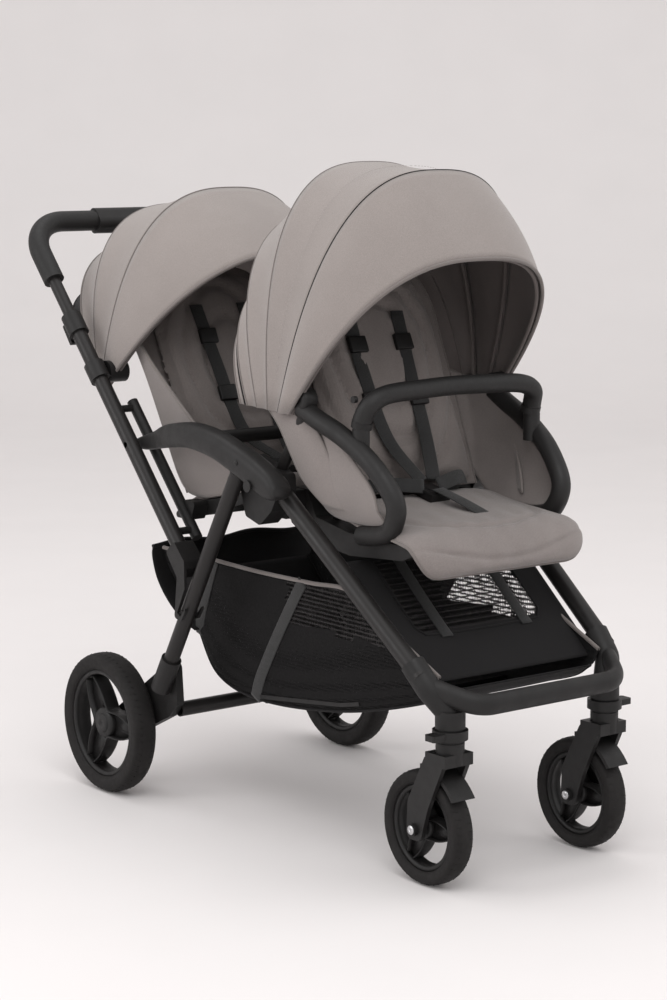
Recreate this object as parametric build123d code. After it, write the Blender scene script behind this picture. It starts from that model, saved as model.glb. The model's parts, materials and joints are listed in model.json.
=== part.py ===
"""Tandem double pushchair: two forward-facing seats, one behind the other, on a folding frame.

Axes: X is the chair's left-right, -Y is the travel direction, +Z is up, and the floor is Z = 0.
The outlines below are drawn in a side view (y, z) with y = 0 midway between the axles.
Every file is saved with the origin on the floor, under the middle of the overall length.
Sizes are millimetres.
"""
import math
import os

from build123d import *

os.makedirs("parts", exist_ok=True)

# ---- driving dimensions ----
WHEELBASE = 709.3
REAR_WHEEL_R, REAR_TYRE_W, REAR_TRACK_X = 116.0, 41.0, 247.0
FRONT_WHEEL_R, FRONT_TYRE_W, FRONT_TRACK_X = 85.4, 35.0, 152.5
CASTER_TRAIL = 48.0
CASTER_TOP_Z = 222.0
SIDE_X = 231.5           # plane of the rear legs and the handle tubes
FRAME_X = 202.0          # plane of the front tubes' upper ends
FRONT_TUBE_R, REAR_LEG_R, HANDLE_R, TELESCOPE_R = 14.0, 12.5, 12.5, 10.4
WALL = 1.8               # tube wall
RUN = 0.05               # running clearance of a pin in its hole
GAP = 0.5                # clearance between bodies that move past each other
PIN_R = 5.0
HUB_FRONT = (-50.0, 558.0)     # armrest pivot on the front frame
HUB_REAR = (2.0, 573.0)        # rear leg pivot on the front frame
LEG_DIR = (0.503, -0.864)      # rear leg, downwards
LEG_LENGTH = 420.0
HANDLE_START = (131.0, 398.0)  # lower end of the handle tubes
HANDLE_DIR = (0.674, 0.739)
HANDLE_END = 721.0             # where the handlebar's corner would be, along the handle tube
COLLAR_AT, TELESCOPE_IN = 505.0, 170.0
GRIP_FROM, GRIP_R, GRIP_BEND = 593.0, 17.5, 70.0
HOUSING_HALF = 98.0
ARM_HINGE_AT = 251.0           # armrest pivot, along the handle tube
CANOPY_CLIP_AT = 399.0
CORNER = (-374.0, 313.0)       # lower end of the front tubes
CORNER_X = 182.0
SEAT_HALF = 150.0              # half-width of the front seat's base
REAR_SEAT_HALF = 165.0
SEAT_TUBE_X, SEAT_TUBE_R = 192.0, 9.0
FRONT_CANOPY_PIVOT = (-110.0, 690.0)
FRONT_BOWS = ((76.0, 350.0, 184.0), (103.0, 338.0, 190.0), (131.0, 269.0, 196.0))
REAR_BOWS = ((100.0, 295.0, 186.0), (140.0, 312.0, 192.0))
BOW_R, BOW_HUB_R, BOW_CORNER = 2.4, 18.0, 115.0
BACK_PIVOT = (-104.0, 526.0)
REAR_BACK_PIVOT = (252.0, 491.0)
HINGE_HALF = 120.0             # half-length of the recline and leg rest hinges
LEG_REST_PIVOT = (-322.0, 486.0)
SNACK_END = (166.0, -214.0, 684.0)
SNACK_R = 14.0
CROSS_TUBE = (205.0, 160.0)
CROSS_TUBE_R = 12.0
ARM_PLATE = (208.0, 222.0)     # x span of the trailing arm beside the rear wheel
ARM_OUT = (245.5, 252.0)       # x span of the armrest's outer cheek
ARM_IN = (211.0, 217.5)        # x span of its inner cheek
BRAKE_PIN_R, BRAKE_RING = 3.2, 40.0
EVERYTHING = {}


# ---- helpers ----
def on_handle(along, offset=0.0):
    """A side-view point along the handle tube, offset towards its rear underside."""
    return (HANDLE_START[0] + along * HANDLE_DIR[0] + offset * HANDLE_DIR[1],
            HANDLE_START[1] + along * HANDLE_DIR[1] - offset * HANDLE_DIR[0])


def on_leg(along):
    return (HUB_REAR[0] + along * LEG_DIR[0], HUB_REAR[1] + along * LEG_DIR[1])


def side_plate(points, x0, x1, radius=6.0):
    """A side-view outline with rounded corners, extruded from x0 to x1."""
    outline = make_face(FilletPolyline(*points, radius=radius, close=True))
    return Plane.YZ.offset(x0) * extrude(outline, x1 - x0)


def rod(a, b, r, bore=0.0):
    start, end = Vector(*a), Vector(*b)
    plane = Plane(origin=start, z_dir=end - start)
    body = Solid.make_cylinder(r, (end - start).length, plane)
    if bore:
        body = body - Solid.make_cylinder(bore, (end - start).length, plane)
    return body


def axle(centre, x0, x1, r):
    """A cylinder along X at a side-view point."""
    return rod((x0, *centre), (x1, *centre), r)


def bent_tube(points, r, bend, bore=0.0, height=0.0):
    """A tube along straight runs joined by arcs; with a height its section is an ellipse."""
    path = FilletPolyline(*[Vector(*p) for p in points], radius=bend)
    plane = Plane(origin=path @ 0, x_dir=(path % 0).cross(Vector(0, 0, 1)), z_dir=path % 0)
    section = Ellipse(r, height) if height else Circle(r)
    if bore:
        section = section - Circle(bore)
    return sweep(plane * section, path=path)


def both(*solids):
    return [s for solid in solids for s in (solid, mirror(solid, about=Plane.YZ))]


def less(solid, *cutters):
    """A solid with its neighbours cut away, so that they meet face to face."""
    for cutter in cutters:
        solid = solid - cutter
    pieces = solid.solids()
    return max(pieces, key=lambda piece: piece.volume)


def hinge_cheek(pivot, root, r=4.5):
    """A lug that ends round a pivot, just outside a hinge's knuckle."""
    run, rise = root[0] - pivot[0], root[1] - pivot[1]
    length = math.hypot(run, rise)
    ny, nz = -rise / length * r, run / length * r
    sides = [(pivot[0] + ny, pivot[1] + nz), (root[0] + ny, root[1] + nz), (root[0] - ny, root[1] - nz),
             (pivot[0] - ny, pivot[1] - nz)]
    arm = Plane.YZ.offset(HINGE_HALF + 0.4) * extrude(make_face(Polyline(*sides, close=True)), 9)
    return arm + axle(pivot, HINGE_HALF + 0.4, HINGE_HALF + 9.4, r)


def keep(node, *solids):
    EVERYTHING[node] = [piece for solid in solids for piece in solid.solids()]


def strip(a, b, near, far):
    """The corners of a strip beside the line from a to b, between two offsets on its front side."""
    run, rise = b[0] - a[0], b[1] - a[1]
    length = math.hypot(run, rise)
    nx, nz = -rise / length, run / length
    return [(a[0] + nx * near, a[1] + nz * near), (b[0] + nx * near, b[1] + nz * near),
            (b[0] + nx * far, b[1] + nz * far), (a[0] + nx * far, a[1] + nz * far)]


# ---- wheels ----
def wheel_plane(x, centre):
    return Plane(origin=(x, *centre), x_dir=(0, 1, 0), z_dir=(1, 0, 0))


def tyre(outer, inner, width):
    half, crown = width / 2, width * 0.22
    with_shoulders = [(inner, -half), (outer - crown, -half), (outer, -half * 0.35),
                      (outer, half * 0.35), (outer - crown, half), (inner, half)]
    face = make_face(FilletPolyline(*with_shoulders, radius=[2, 7, 9, 9, 7, 2], close=True))
    return revolve(Plane.XZ * face, Axis.Z)


def rim(outer, width, hub_r, bore, spokes):
    """A rim with pairs of curved blades; a blade is a ring sector that leans round the hub."""
    ring = Cylinder(outer, width) - Cylinder(outer - 7, width)
    hub = Cylinder(hub_r, width * 0.8)
    reach = outer - 3
    blades = []
    for k in range(spokes):
        for lean in (1, -1):
            blade = Cylinder(reach * 0.72, width * 0.45) - Cylinder(reach * 0.72 - 8, width * 0.45)
            blade = Pos(reach * 0.50, lean * reach * 0.56, 0) * blade
            blade = blade & (Pos(reach * 0.5, lean * reach * 0.02, 0) * Box(reach, reach * 0.62, width))
            blades.append(Rot(0, 0, k * 360 / spokes + 20) * blade)
    body = ring + hub
    for blade in blades:
        body = body + (blade & Cylinder(outer - 2, width))
    return body - Cylinder(bore, width * 2)


def rear_wheel(side, sign):
    plane = wheel_plane(sign * REAR_TRACK_X, (WHEELBASE / 2, REAR_WHEEL_R))
    seat = REAR_WHEEL_R - 27
    wheel = rim(seat, REAR_TYRE_W - 10, 25, 6 + RUN, 3)
    ring_x = -sign * (REAR_TYRE_W / 2 - 5)
    ring = Pos(0, 0, ring_x) * (Cylinder(BRAKE_RING + 8, 5) - Cylinder(20, 5))
    for k in range(12):
        at = Rot(0, 0, 150 + 30 * k) * Pos(BRAKE_RING, 0, ring_x)
        ring = ring - at * Cylinder(BRAKE_PIN_R + 0.8, 6)
    wheel = wheel + ring - Cylinder(6 + RUN, 80)
    face_x = sign * ((REAR_TYRE_W - 10) * 0.4)
    cap = Pos(0, 0, face_x + sign * 4.0) * Cylinder(27, 8)
    cap = fillet(cap.edges().group_by(Axis.Z)[-1 if sign > 0 else 0], 3)
    keep(f"rear_tyre_{side}", plane * less(tyre(REAR_WHEEL_R, seat, REAR_TYRE_W), wheel))
    keep(f"rear_rim_{side}", plane * less(wheel, cap), plane * cap)


def front_wheel(side, sign):
    plane = wheel_plane(sign * FRONT_TRACK_X, (-WHEELBASE / 2, FRONT_WHEEL_R))
    seat = FRONT_WHEEL_R - 21
    wheel = rim(seat, FRONT_TYRE_W - 9, 18, PIN_R + RUN, 3)
    keep(f"front_tyre_{side}", plane * less(tyre(FRONT_WHEEL_R, seat, FRONT_TYRE_W), wheel))
    keep(f"front_rim_{side}", plane * wheel)


# ---- casters ----
def caster(side, sign):
    """A fork with an arm each side of the wheel, a hood over the tyre and its axle bolt."""
    x, y = sign * FRONT_TRACK_X, -WHEELBASE / 2
    stem_y = y - CASTER_TRAIL
    inner = FRONT_TYRE_W / 2 + 1.5
    top = CASTER_TOP_Z - GAP
    outline = [(stem_y - 20, top - 20), (stem_y + 24, top - 20), (y + 15, FRONT_WHEEL_R + 40),
               (y + 17, FRONT_WHEEL_R - 16), (y - 14, FRONT_WHEEL_R - 16), (y - 30, FRONT_WHEEL_R + 35)]
    arms = [side_plate(outline, x + s * inner + (0 if s > 0 else -7.5), x + s * inner + (7.5 if s > 0 else 0), 11)
            for s in (1, -1)]
    bridge = Pos(x, stem_y + 2, top - 24) * Box(2 * inner + 15, 44, 18)
    bridge = bridge - axle((y, FRONT_WHEEL_R), x - 40, x + 40, FRONT_WHEEL_R + 6)
    hood = axle((y, FRONT_WHEEL_R), x - inner - 1, x + inner + 1, FRONT_WHEEL_R + 13)
    hood = hood - axle((y, FRONT_WHEEL_R), x - 40, x + 40, FRONT_WHEEL_R + 7)
    hood = hood & side_plate([(y - 5, 120), (y - 5, 215), (y - 110, 215), (y - 108, 150)],
                             x - 40, x + 40, 4)
    stem = rod((x, stem_y, top - 32), (x, stem_y, top), 21)
    fork = stem + bridge + hood + arms[0] + arms[1]
    bolt = axle((y, FRONT_WHEEL_R), x - inner - 13, x + inner + 13, PIN_R)
    heads = [axle((y, FRONT_WHEEL_R), x + s * (inner + 7.5), x + s * (inner + 13), 9) for s in (1, -1)]
    spindle = bolt + heads[0] + heads[1]
    keep(f"caster_fork_{side}", less(fork, spindle), spindle)
    collar = rod((x, stem_y, CASTER_TOP_Z + 4), (x, stem_y, CASTER_TOP_Z + 18), 26)
    tab = Pos(x + sign * 30, stem_y - 4, CASTER_TOP_Z + 11) * Box(26, 22, 9)
    bore = rod((x, stem_y, CASTER_TOP_Z), (x, stem_y, CASTER_TOP_Z + 30), 20 + GAP)
    keep(f"swivel_lock_{side}", less(collar + fillet(tab.edges().filter_by(Axis.Z), 4), bore))


# ---- front frame ----
def front_frame():
    tube_top = (FRAME_X, HUB_FRONT[0] + 12, HUB_FRONT[1] + 9)
    corner = (CORNER_X, *CORNER)
    tube = rod(tube_top, corner, FRONT_TUBE_R, FRONT_TUBE_R - WALL)
    tube_cut = rod(tube_top, corner, FRONT_TUBE_R)
    stem_y = -WHEELBASE / 2 - CASTER_TRAIL
    leg_x = FRONT_TRACK_X
    casting = bent_tube([(CORNER_X - 1, CORNER[0] + 22, CORNER[1] + 17), (CORNER_X - 6, CORNER[0] - 10, CORNER[1] - 16),
                         (leg_x, stem_y, 262), (leg_x, stem_y, CASTER_TOP_Z + 20)], 18.5, [30, 22])
    leg = rod((leg_x, stem_y, CASTER_TOP_Z), (leg_x, stem_y, CASTER_TOP_Z + 30), 20)
    shoulder = rod((leg_x, stem_y, CASTER_TOP_Z + 20), (leg_x, stem_y, 268), 22)
    casting = casting + leg + shoulder
    bar = bent_tube([(CORNER_X - 4, CORNER[0] - 6, CORNER[1] - 12), (136, stem_y - 44, 279),
                     (-136, stem_y - 44, 279), (-CORNER_X + 4, CORNER[0] - 6, CORNER[1] - 12)],
                    13, 46, height=16)
    castings = both(less(casting, tube_cut))
    keep("front_tubes", *both(tube))
    keep("front_corner_castings", *castings)
    keep("front_crossbar", less(bar, *castings, *both(tube_cut)))

    hub = side_plate([(-78, 574), (-50, 582), (4, 597), (27, 580), (20, 552), (4, 503), (-32, 493),
                      (-62, 518), (-80, 548)], FRAME_X - 18, FRAME_X + 16, 7)
    armrest_pin = axle(HUB_FRONT, FRAME_X + 10, ARM_OUT[1] + 0.3, PIN_R)
    armrest_head = axle(HUB_FRONT, ARM_OUT[1] + 0.3, ARM_OUT[1] + 3, 9)
    leg_pin = axle(HUB_REAR, FRAME_X + 10, SIDE_X + REAR_LEG_R + 0.8, PIN_R)
    hub = less(hub, tube_cut) + armrest_pin + armrest_head + leg_pin
    keep("frame_hubs", *both(less(hub, tube_cut)))

    mount = axle(FRONT_CANOPY_PIVOT, 178, 204, BOW_HUB_R)
    upright = rod((190, -47, 572), (190, FRONT_CANOPY_PIVOT[0] + 6, FRONT_CANOPY_PIVOT[1] - 12), SEAT_TUBE_R)
    arm = bent_tube([(190, FRONT_CANOPY_PIVOT[0] - 4, FRONT_CANOPY_PIVOT[1] - 16), (180, -205, 657),
                     (SEAT_HALF + 13, -284, 588), (SEAT_HALF + 10, -290, 540), (SEAT_HALF + 7, -258, 503),
                     (SEAT_HALF + 7, -205, 492)], 13.5,
                    [40, 36, 22, 22])
    socket = rod((SNACK_END[0], SNACK_END[1], 650), (*SNACK_END[:2], SNACK_END[2] - GAP), 13)
    arm = arm + socket + mount + less(upright, hub)
    arms = both(arm)
    base = side_plate([(-24, 546), (-8, 530), (-22, 490), (-58, 470), (-167, 458), (-290, 467),
                       (-316, 478), (-316, 488), (-165, 492), (-84, 506), (-62, 546)], -SEAT_HALF, SEAT_HALF, 5)
    ears = side_plate([(-58, 545), (-12, 545), (-12, 502), (-58, 502)], SEAT_HALF, FRAME_X - 18, 5)
    for cheek in both(ears, hinge_cheek(BACK_PIVOT, (BACK_PIVOT[0], 500)),
                      hinge_cheek(LEG_REST_PIVOT, (-310, LEG_REST_PIVOT[1] - 0.5), 3.5)):
        base = base + cheek
    keep("front_arm_tubes", *arms)
    keep("front_seat_base", less(base, *arms))
    pad = side_plate([(-138, 498), (-126, 543), (-200, 527), (-321, 505), (-312, 484), (-168, 486)],
                     -138, 138, 3)
    keep("front_seat_pad", less(pad, base))


def leg_rest():
    board = side_plate([(-322, 480), (-331, 482), (-346, 447), (-338, 443)], -135, 135, 2)
    lug = axle(LEG_REST_PIVOT, -HINGE_HALF, HINGE_HALF, 3.5)
    link = side_plate([(-319, 487), (-325, 487), (-332, 474), (-325, 474)], -HINGE_HALF, HINGE_HALF, 1)
    keep("leg_rest_board", board + lug + link)


def front_back():
    foot, head = (-118, 538), (28, 886)
    board = side_plate(strip(foot, head, 0, -11), -SEAT_HALF + 6, SEAT_HALF - 6, 4)
    y, z = BACK_PIVOT
    knuckle = axle(BACK_PIVOT, -HINGE_HALF, HINGE_HALF, 6)
    web = side_plate([(y - 8, z + 16), (y + 4, z + 16), (y + 6, z), (y - 6, z)], -HINGE_HALF, HINGE_HALF, 1)
    keep("front_back_board", board + knuckle + web)
    keep("front_back_pad", side_plate(strip((-114, 548), (28, 886), 0.3, 20), -138, 138, 6))


# ---- snack bar ----
def snack_bar():
    x, y, z = SNACK_END
    height = z + 17
    points = [(x, y + 4, height), (x - 14, y - 80, height + 12), (-x + 14, y - 80, height + 12),
              (-x, y + 4, height)]
    bar = bent_tube(points, SNACK_R, 42)
    for sign in (1, -1):
        bar = bar + rod((sign * x, y, z), (sign * x, y, height + 14), SNACK_R + 0.5)
    pocket = axle((y, z + 14), -x - 16, -x - 6, 5.4)
    keep("snack_bar", less(bar, pocket))
    keep("snack_bar_button", axle((y, z + 14), -x - 16, -x - 9.6, 5))


# ---- rear legs, brackets and brake ----
def rear_legs():
    hub_centre = (WHEELBASE / 2, REAR_WHEEL_R)
    top, bottom = (SIDE_X, *on_leg(-14)), (SIDE_X, *on_leg(LEG_LENGTH))
    leg = rod(top, bottom, REAR_LEG_R, REAR_LEG_R - WALL)
    leg_cut = rod(top, bottom, REAR_LEG_R)
    leg = less(leg, axle(HUB_REAR, SIDE_X - 30, SIDE_X + 30, PIN_R + RUN))
    stud = axle(on_leg(276), SIDE_X - 14.3, SIDE_X + 14.3, 4)
    leg = less(leg, stud)
    socket = rod((SIDE_X, *on_leg(LEG_LENGTH - 45)), (SIDE_X, *on_leg(LEG_LENGTH + 18)), REAR_LEG_R + 4)
    foot = on_leg(LEG_LENGTH + 18)
    arm = side_plate([(foot[0] - 26, foot[1] + 48), (foot[0] + 12, foot[1] + 30),
                      (hub_centre[0] + 6, hub_centre[1] + 24), (hub_centre[0] + 26, hub_centre[1] + 4),
                      (hub_centre[0] + 4, hub_centre[1] - 24), (hub_centre[0] - 60, hub_centre[1] - 8),
                      (foot[0] - 10, foot[1] - 46), (foot[0] - 32, foot[1] - 22)], *ARM_PLATE, 9)
    stub = axle(hub_centre, ARM_PLATE[0], REAR_TRACK_X + 12, 6)
    pin_at = (hub_centre[0] + BRAKE_RING * math.cos(math.radians(150)),
              hub_centre[1] + BRAKE_RING * math.sin(math.radians(150)))
    pin_hole = axle(pin_at, ARM_PLATE[0] - 5, ARM_PLATE[1] + 5, BRAKE_PIN_R + RUN)
    bracket = less(socket + arm, leg_cut, stub, pin_hole)
    keep("rear_leg_tubes", *both(leg, stud))
    keep("rear_leg_brackets", *both(bracket))
    keep("rear_axles", *both(stub))
    keep("rear_cross_tube", rod((-ARM_PLATE[0], *CROSS_TUBE), (ARM_PLATE[0], *CROSS_TUBE), CROSS_TUBE_R,
                                CROSS_TUBE_R - WALL))
    for side, sign in (("left", 1), ("right", -1)):
        keep(f"brake_pin_{side}", axle(pin_at, sign * (ARM_PLATE[0] - 9), sign * (ARM_PLATE[1] + 3), BRAKE_PIN_R))
    sleeve = axle(CROSS_TUBE, -34, 34, CROSS_TUBE_R + 4)
    tread = side_plate([(CROSS_TUBE[0] + 6, CROSS_TUBE[1] + 12), (CROSS_TUBE[0] + 64, CROSS_TUBE[1] + 4),
                        (CROSS_TUBE[0] + 66, CROSS_TUBE[1] - 6), (CROSS_TUBE[0] + 6, CROSS_TUBE[1] - 6)],
                       -34, 34, 4)
    keep("brake_pedal", less(sleeve + tread, axle(CROSS_TUBE, -60, 60, CROSS_TUBE_R + RUN)))


# ---- armrests ----
def armrests():
    top = [(-80, 560), (-66, 580), (-40, 594), (13, 614), (70, 626), (128, 632), (196, 628), (262, 617), (312, 606)]
    under = [(324, 590), (313, 569), (258, 577), (196, 588), (148, 594), (110, 593), (72, 586), (22, 570),
             (-26, 551), (-58, 540)]
    outline = make_face(FilletPolyline(*top, *under, close=True,
                                       radius=[10, 14, 40, 60, 60, 60, 60, 50, 14, 12, 8, 50, 60, 60, 50, 60,
                                               60, 50, 14]))

    def slab(x0, x1):
        return Plane.YZ.offset(x0) * extrude(outline, x1 - x0)

    body = slab(ARM_IN[0], ARM_OUT[1]) & (Pos(SIDE_X, 178, 600) * Box(80, 166, 120))
    inner = slab(*ARM_IN) & (Pos(SIDE_X, 298, 600) * Box(80, 90, 120))
    cheek = slab(*ARM_OUT)
    cheek = cheek - axle(HUB_FRONT, SIDE_X, SIDE_X + 40, PIN_R + RUN)
    hinge = on_handle(ARM_HINGE_AT)
    arm = body + inner + cheek + axle(hinge, ARM_IN[0], ARM_OUT[1] + 2.5, PIN_R)
    arm = arm + axle(hinge, ARM_OUT[1], ARM_OUT[1] + 2.5, 8)
    keep("armrest_shells", *both(arm))
    keep("rear_guard_bar", axle((128, 608), -ARM_IN[0], ARM_IN[0], 11))


# ---- handle ----
def handle():
    lower = rod((SIDE_X, *on_handle(8)), (SIDE_X, *on_handle(COLLAR_AT)), HANDLE_R, HANDLE_R - WALL)
    lower_cut = rod((SIDE_X, *on_handle(8)), (SIDE_X, *on_handle(COLLAR_AT)), HANDLE_R)
    lower = less(lower, axle(on_handle(ARM_HINGE_AT), SIDE_X - 20, SIDE_X + 20, PIN_R + RUN))
    hook_at = on_leg(276)
    fork = side_plate([on_handle(52, -15), on_handle(52, 15), on_handle(5, 17), (hook_at[0] + 14, hook_at[1] - 10),
                       (hook_at[0] - 4, hook_at[1] - 14), (hook_at[0] - 16, hook_at[1] + 4), on_handle(12, -17)],
                      SIDE_X - 18, SIDE_X + 18, 6)
    slot = Pos(SIDE_X, 120, 340) * Box(2 * (REAR_LEG_R + 1), 400, 400)
    slot = slot & side_plate([on_handle(3, -90), on_handle(3, 90), on_handle(-120, 90), on_handle(-120, -90)],
                             SIDE_X - 18, SIDE_X + 18, 1)
    far = on_leg(276 - 70)
    across = (LEG_DIR[1], -LEG_DIR[0])
    low = on_leg(276 + 4.6)
    stud_slot = side_plate([(low[0] - 5 * across[0], low[1] - 5 * across[1]),
                            (low[0] + 5 * across[0], low[1] + 5 * across[1]),
                            (far[0] + 22 * across[0], far[1] + 22 * across[1]),
                            (far[0] - 8 * across[0], far[1] - 8 * across[1])],
                           SIDE_X - 18, SIDE_X + 18, 2)
    fork = less(fork, lower_cut, slot, stud_slot)
    collar = rod((SIDE_X, *on_handle(COLLAR_AT - 26)), (SIDE_X, *on_handle(COLLAR_AT + 12)), HANDLE_R + 4.5)
    clip = rod((SIDE_X, *on_handle(CANOPY_CLIP_AT - 16)), (SIDE_X, *on_handle(CANOPY_CLIP_AT + 16)), HANDLE_R + 4.5)
    clip = clip + axle(on_handle(CANOPY_CLIP_AT), 180, 216, BOW_HUB_R)
    slide_bore = rod((SIDE_X, *on_handle(COLLAR_AT - 40)), (SIDE_X, *on_handle(COLLAR_AT + 40)), TELESCOPE_R + RUN)
    keep("handle_lower_tubes", *both(lower))
    keep("handle_hook_brackets", *both(fork))
    keep("handle_collars", *both(less(collar, lower_cut, slide_bore), less(clip, lower_cut)))

    corner = on_handle(HANDLE_END)
    upper_path = [(SIDE_X, *on_handle(COLLAR_AT - TELESCOPE_IN)), (SIDE_X, *corner), (-SIDE_X, *corner),
                  (-SIDE_X, *on_handle(COLLAR_AT - TELESCOPE_IN))]
    bar = bent_tube(upper_path, TELESCOPE_R, GRIP_BEND, TELESCOPE_R - WALL)
    grip = bent_tube([(SIDE_X, *on_handle(GRIP_FROM)), (SIDE_X, *corner), (HOUSING_HALF, *corner)], GRIP_R,
                     GRIP_BEND, TELESCOPE_R)
    shell = [on_handle(HANDLE_END - 21, -18), on_handle(HANDLE_END - 21, 18), on_handle(HANDLE_END + 20, 18),
             on_handle(HANDLE_END + 20, -18)]
    housing = side_plate(shell, -HOUSING_HALF, HOUSING_HALF, 13)
    pocket = side_plate([on_handle(HANDLE_END - 24, -6), on_handle(HANDLE_END - 24, 6),
                         on_handle(HANDLE_END - 12, 6), on_handle(HANDLE_END - 12, -6)], -22, 22, 2)
    housing = less(housing, axle(corner, -200, 200, TELESCOPE_R), pocket)
    button = side_plate([on_handle(HANDLE_END - 23, -5.4), on_handle(HANDLE_END - 23, 5.4),
                         on_handle(HANDLE_END - 17, 5.4), on_handle(HANDLE_END - 17, -5.4)], -21.4, 21.4, 2)
    keep("handlebar_tube", bar)
    keep("handle_grips", *both(grip))
    keep("handle_housing", housing)
    keep("fold_button", button)
    for side, sign in (("left", 1), ("right", -1)):
        base, tip = HANDLE_R + 5.2, HANDLE_R + 13
        lever = side_plate([on_handle(COLLAR_AT - 30, base), on_handle(COLLAR_AT + 8, base),
                            on_handle(COLLAR_AT + 8, base + 5), on_handle(COLLAR_AT - 30, tip)],
                           sign * SIDE_X - 8, sign * SIDE_X + 8, 2)
        keep(f"height_lever_{side}", lever)


# ---- rear seat ----
def rear_seat():
    tube_a, tube_b = (SEAT_TUBE_X, *on_handle(62)), (SEAT_TUBE_X, *on_handle(335))
    tube = rod(tube_a, tube_b, SEAT_TUBE_R)
    for along in (78, 322):
        tube = tube + axle(on_handle(along), SEAT_TUBE_X, SIDE_X - HANDLE_R + 0.9, 6)
    lower = rod((SIDE_X, *on_handle(8)), (SIDE_X, *on_handle(COLLAR_AT)), HANDLE_R)
    tube = less(tube, lower)
    pan = side_plate([(62, 523), (72, 511), (160, 482), (246, 464), (258, 474), (240, 490), (150, 508), (70, 533)],
                     -REAR_SEAT_HALF, REAR_SEAT_HALF, 5)
    ears = side_plate([(178, 500), (214, 500), (226, 482), (240, 470), (190, 470)], REAR_SEAT_HALF,
                      SEAT_TUBE_X, 5)
    base = pan
    for ear in both(ears, hinge_cheek(REAR_BACK_PIVOT, (REAR_BACK_PIVOT[0], 474))):
        base = base + ear
    keep("rear_seat_base", less(base, *both(tube)), *both(tube))
    pad = side_plate([(66, 550), (62, 536), (150, 511), (222, 497), (226, 516), (150, 534)], -150, 150, 4)
    keep("rear_seat_pad", less(pad, base, *both(tube)))
    foot, head = (238, 505), (452, 858)
    board = side_plate(strip(foot, head, 0, -10), -150, 150, 4)
    y, z = REAR_BACK_PIVOT
    knuckle = axle(REAR_BACK_PIVOT, -HINGE_HALF, HINGE_HALF, 5)
    web = side_plate([(y - 13, z + 15), (y - 3, z + 10), (y + 4, z), (y - 4, z - 2)], -HINGE_HALF, HINGE_HALF, 1)
    keep("rear_back_board", board + knuckle + web)
    keep("rear_back_pad", side_plate(strip((244, 514.9), head, 0.3, 20), -142, 142, 6))


# ---- canopies ----
def bow(pivot, angle, reach, half):
    """A sprung bow standing on its two pivots, in a plane through their axis."""
    path = [(half, BOW_HUB_R + 0.4), (half + 6, reach), (-half - 6, reach), (-half, BOW_HUB_R + 0.4)]
    plane = Plane(origin=(0, *pivot), x_dir=(1, 0, 0),
                  z_dir=(0, -math.sin(math.radians(angle)), math.cos(math.radians(angle))))
    wire = plane * FilletPolyline(*path, radius=BOW_CORNER)
    return sweep(Plane(origin=wire @ 0, z_dir=wire % 0) * Circle(BOW_R), path=wire)


def shell(pivot, stations, half, thick):
    """A canopy's skin: U-shaped sections about the pivot axis, lofted, with the inside taken out."""
    def loft_of(shrink):
        sections = []
        for angle, reach in stations:
            plane = Plane(origin=(0, *pivot), x_dir=(1, 0, 0),
                          z_dir=(0, -math.sin(math.radians(angle)), math.cos(math.radians(angle))))
            w, r = half - shrink, reach - shrink
            outline = FilletPolyline((w, 26), (w, r), (-w, r), (-w, 26), radius=BOW_CORNER - shrink)
            closed = make_face([*outline.edges(), Line((-w, 26), (w, 26))])
            sections.append(plane * closed)
        return loft(sections, ruled=True)
    return loft_of(0) - loft_of(thick)


def canopies():
    for k, (angle, reach, half) in enumerate(FRONT_BOWS):
        keep(f"front_canopy_bow_{k + 1}", bow(FRONT_CANOPY_PIVOT, angle, reach, half))
    clip = on_handle(CANOPY_CLIP_AT)
    for k, (angle, reach, half) in enumerate(REAR_BOWS):
        keep(f"rear_canopy_bow_{k + 1}", bow(clip, angle, reach, half))
    front = [(135.0, 271.0), (FRONT_BOWS[2][0], FRONT_BOWS[2][1] + 6), (117.0, 314.0),
             (FRONT_BOWS[1][0], FRONT_BOWS[1][1] + 6), (90.0, 354.0),
             (FRONT_BOWS[0][0], FRONT_BOWS[0][1] + 6), (56.0, 325.0), (37.0, 262.0)]
    rear = [(143.0, 315.0), (REAR_BOWS[1][0], REAR_BOWS[1][1] + 6), (121.0, 316.0),
            (REAR_BOWS[0][0], REAR_BOWS[0][1] + 6), (82.0, 293.0), (62.0, 280.0), (36.0, 268.0)]
    keep("front_canopy_fabric", shell(FRONT_CANOPY_PIVOT, front, 207.0, 3.0))
    keep("rear_canopy_fabric", shell(clip, rear, 203.0, 3.0))


# ---- basket ----
def basket():
    outer = [(-390, 308), (-330, 266), (-143, 216), (63, 190), (186, 214), (248, 285), (310, 330), (326, 404),
             (-186, 404)]
    inner = [(-382, 310), (-328, 270), (-143, 220), (63, 194), (183, 217), (245, 288), (306, 333), (321, 420),
             (-182, 420)]
    tub = side_plate(outer, -164, 164, 6) - side_plate(inner, -160, 160, 5)
    floor = side_plate([(-190, 232), (-143, 222), (60, 196), (64, 202), (-143, 228), (-188, 238)],
                       -150, 150, 1)
    keep("basket_floor", floor)
    keep("basket", less(tub, floor))


# ---- harness buckles ----
def buckles():
    for name, (y, z), tilt in (("front_buckle", (-178, 540), 14), ("rear_buckle", (176, 535.6), -13)):
        body = Pos(0, y, z) * Rot(tilt, 0, 0) * Box(38, 44, 13)
        body = fillet(body.edges().filter_by(Axis.X, reverse=True).group_by(Axis.Z)[-1], 3)
        pocket = Pos(0, y, z) * Rot(tilt, 0, 0) * Pos(0, 0, 6) * Cylinder(8.4, 8)
        button = Pos(0, y, z) * Rot(tilt, 0, 0) * Pos(0, 0, 6.2) * Cylinder(8, 3)
        pad = EVERYTHING[name.replace("buckle", "seat_pad")][0]
        keep(name, less(body, pocket, pad))
        keep(f"{name}_button", button)


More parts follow.
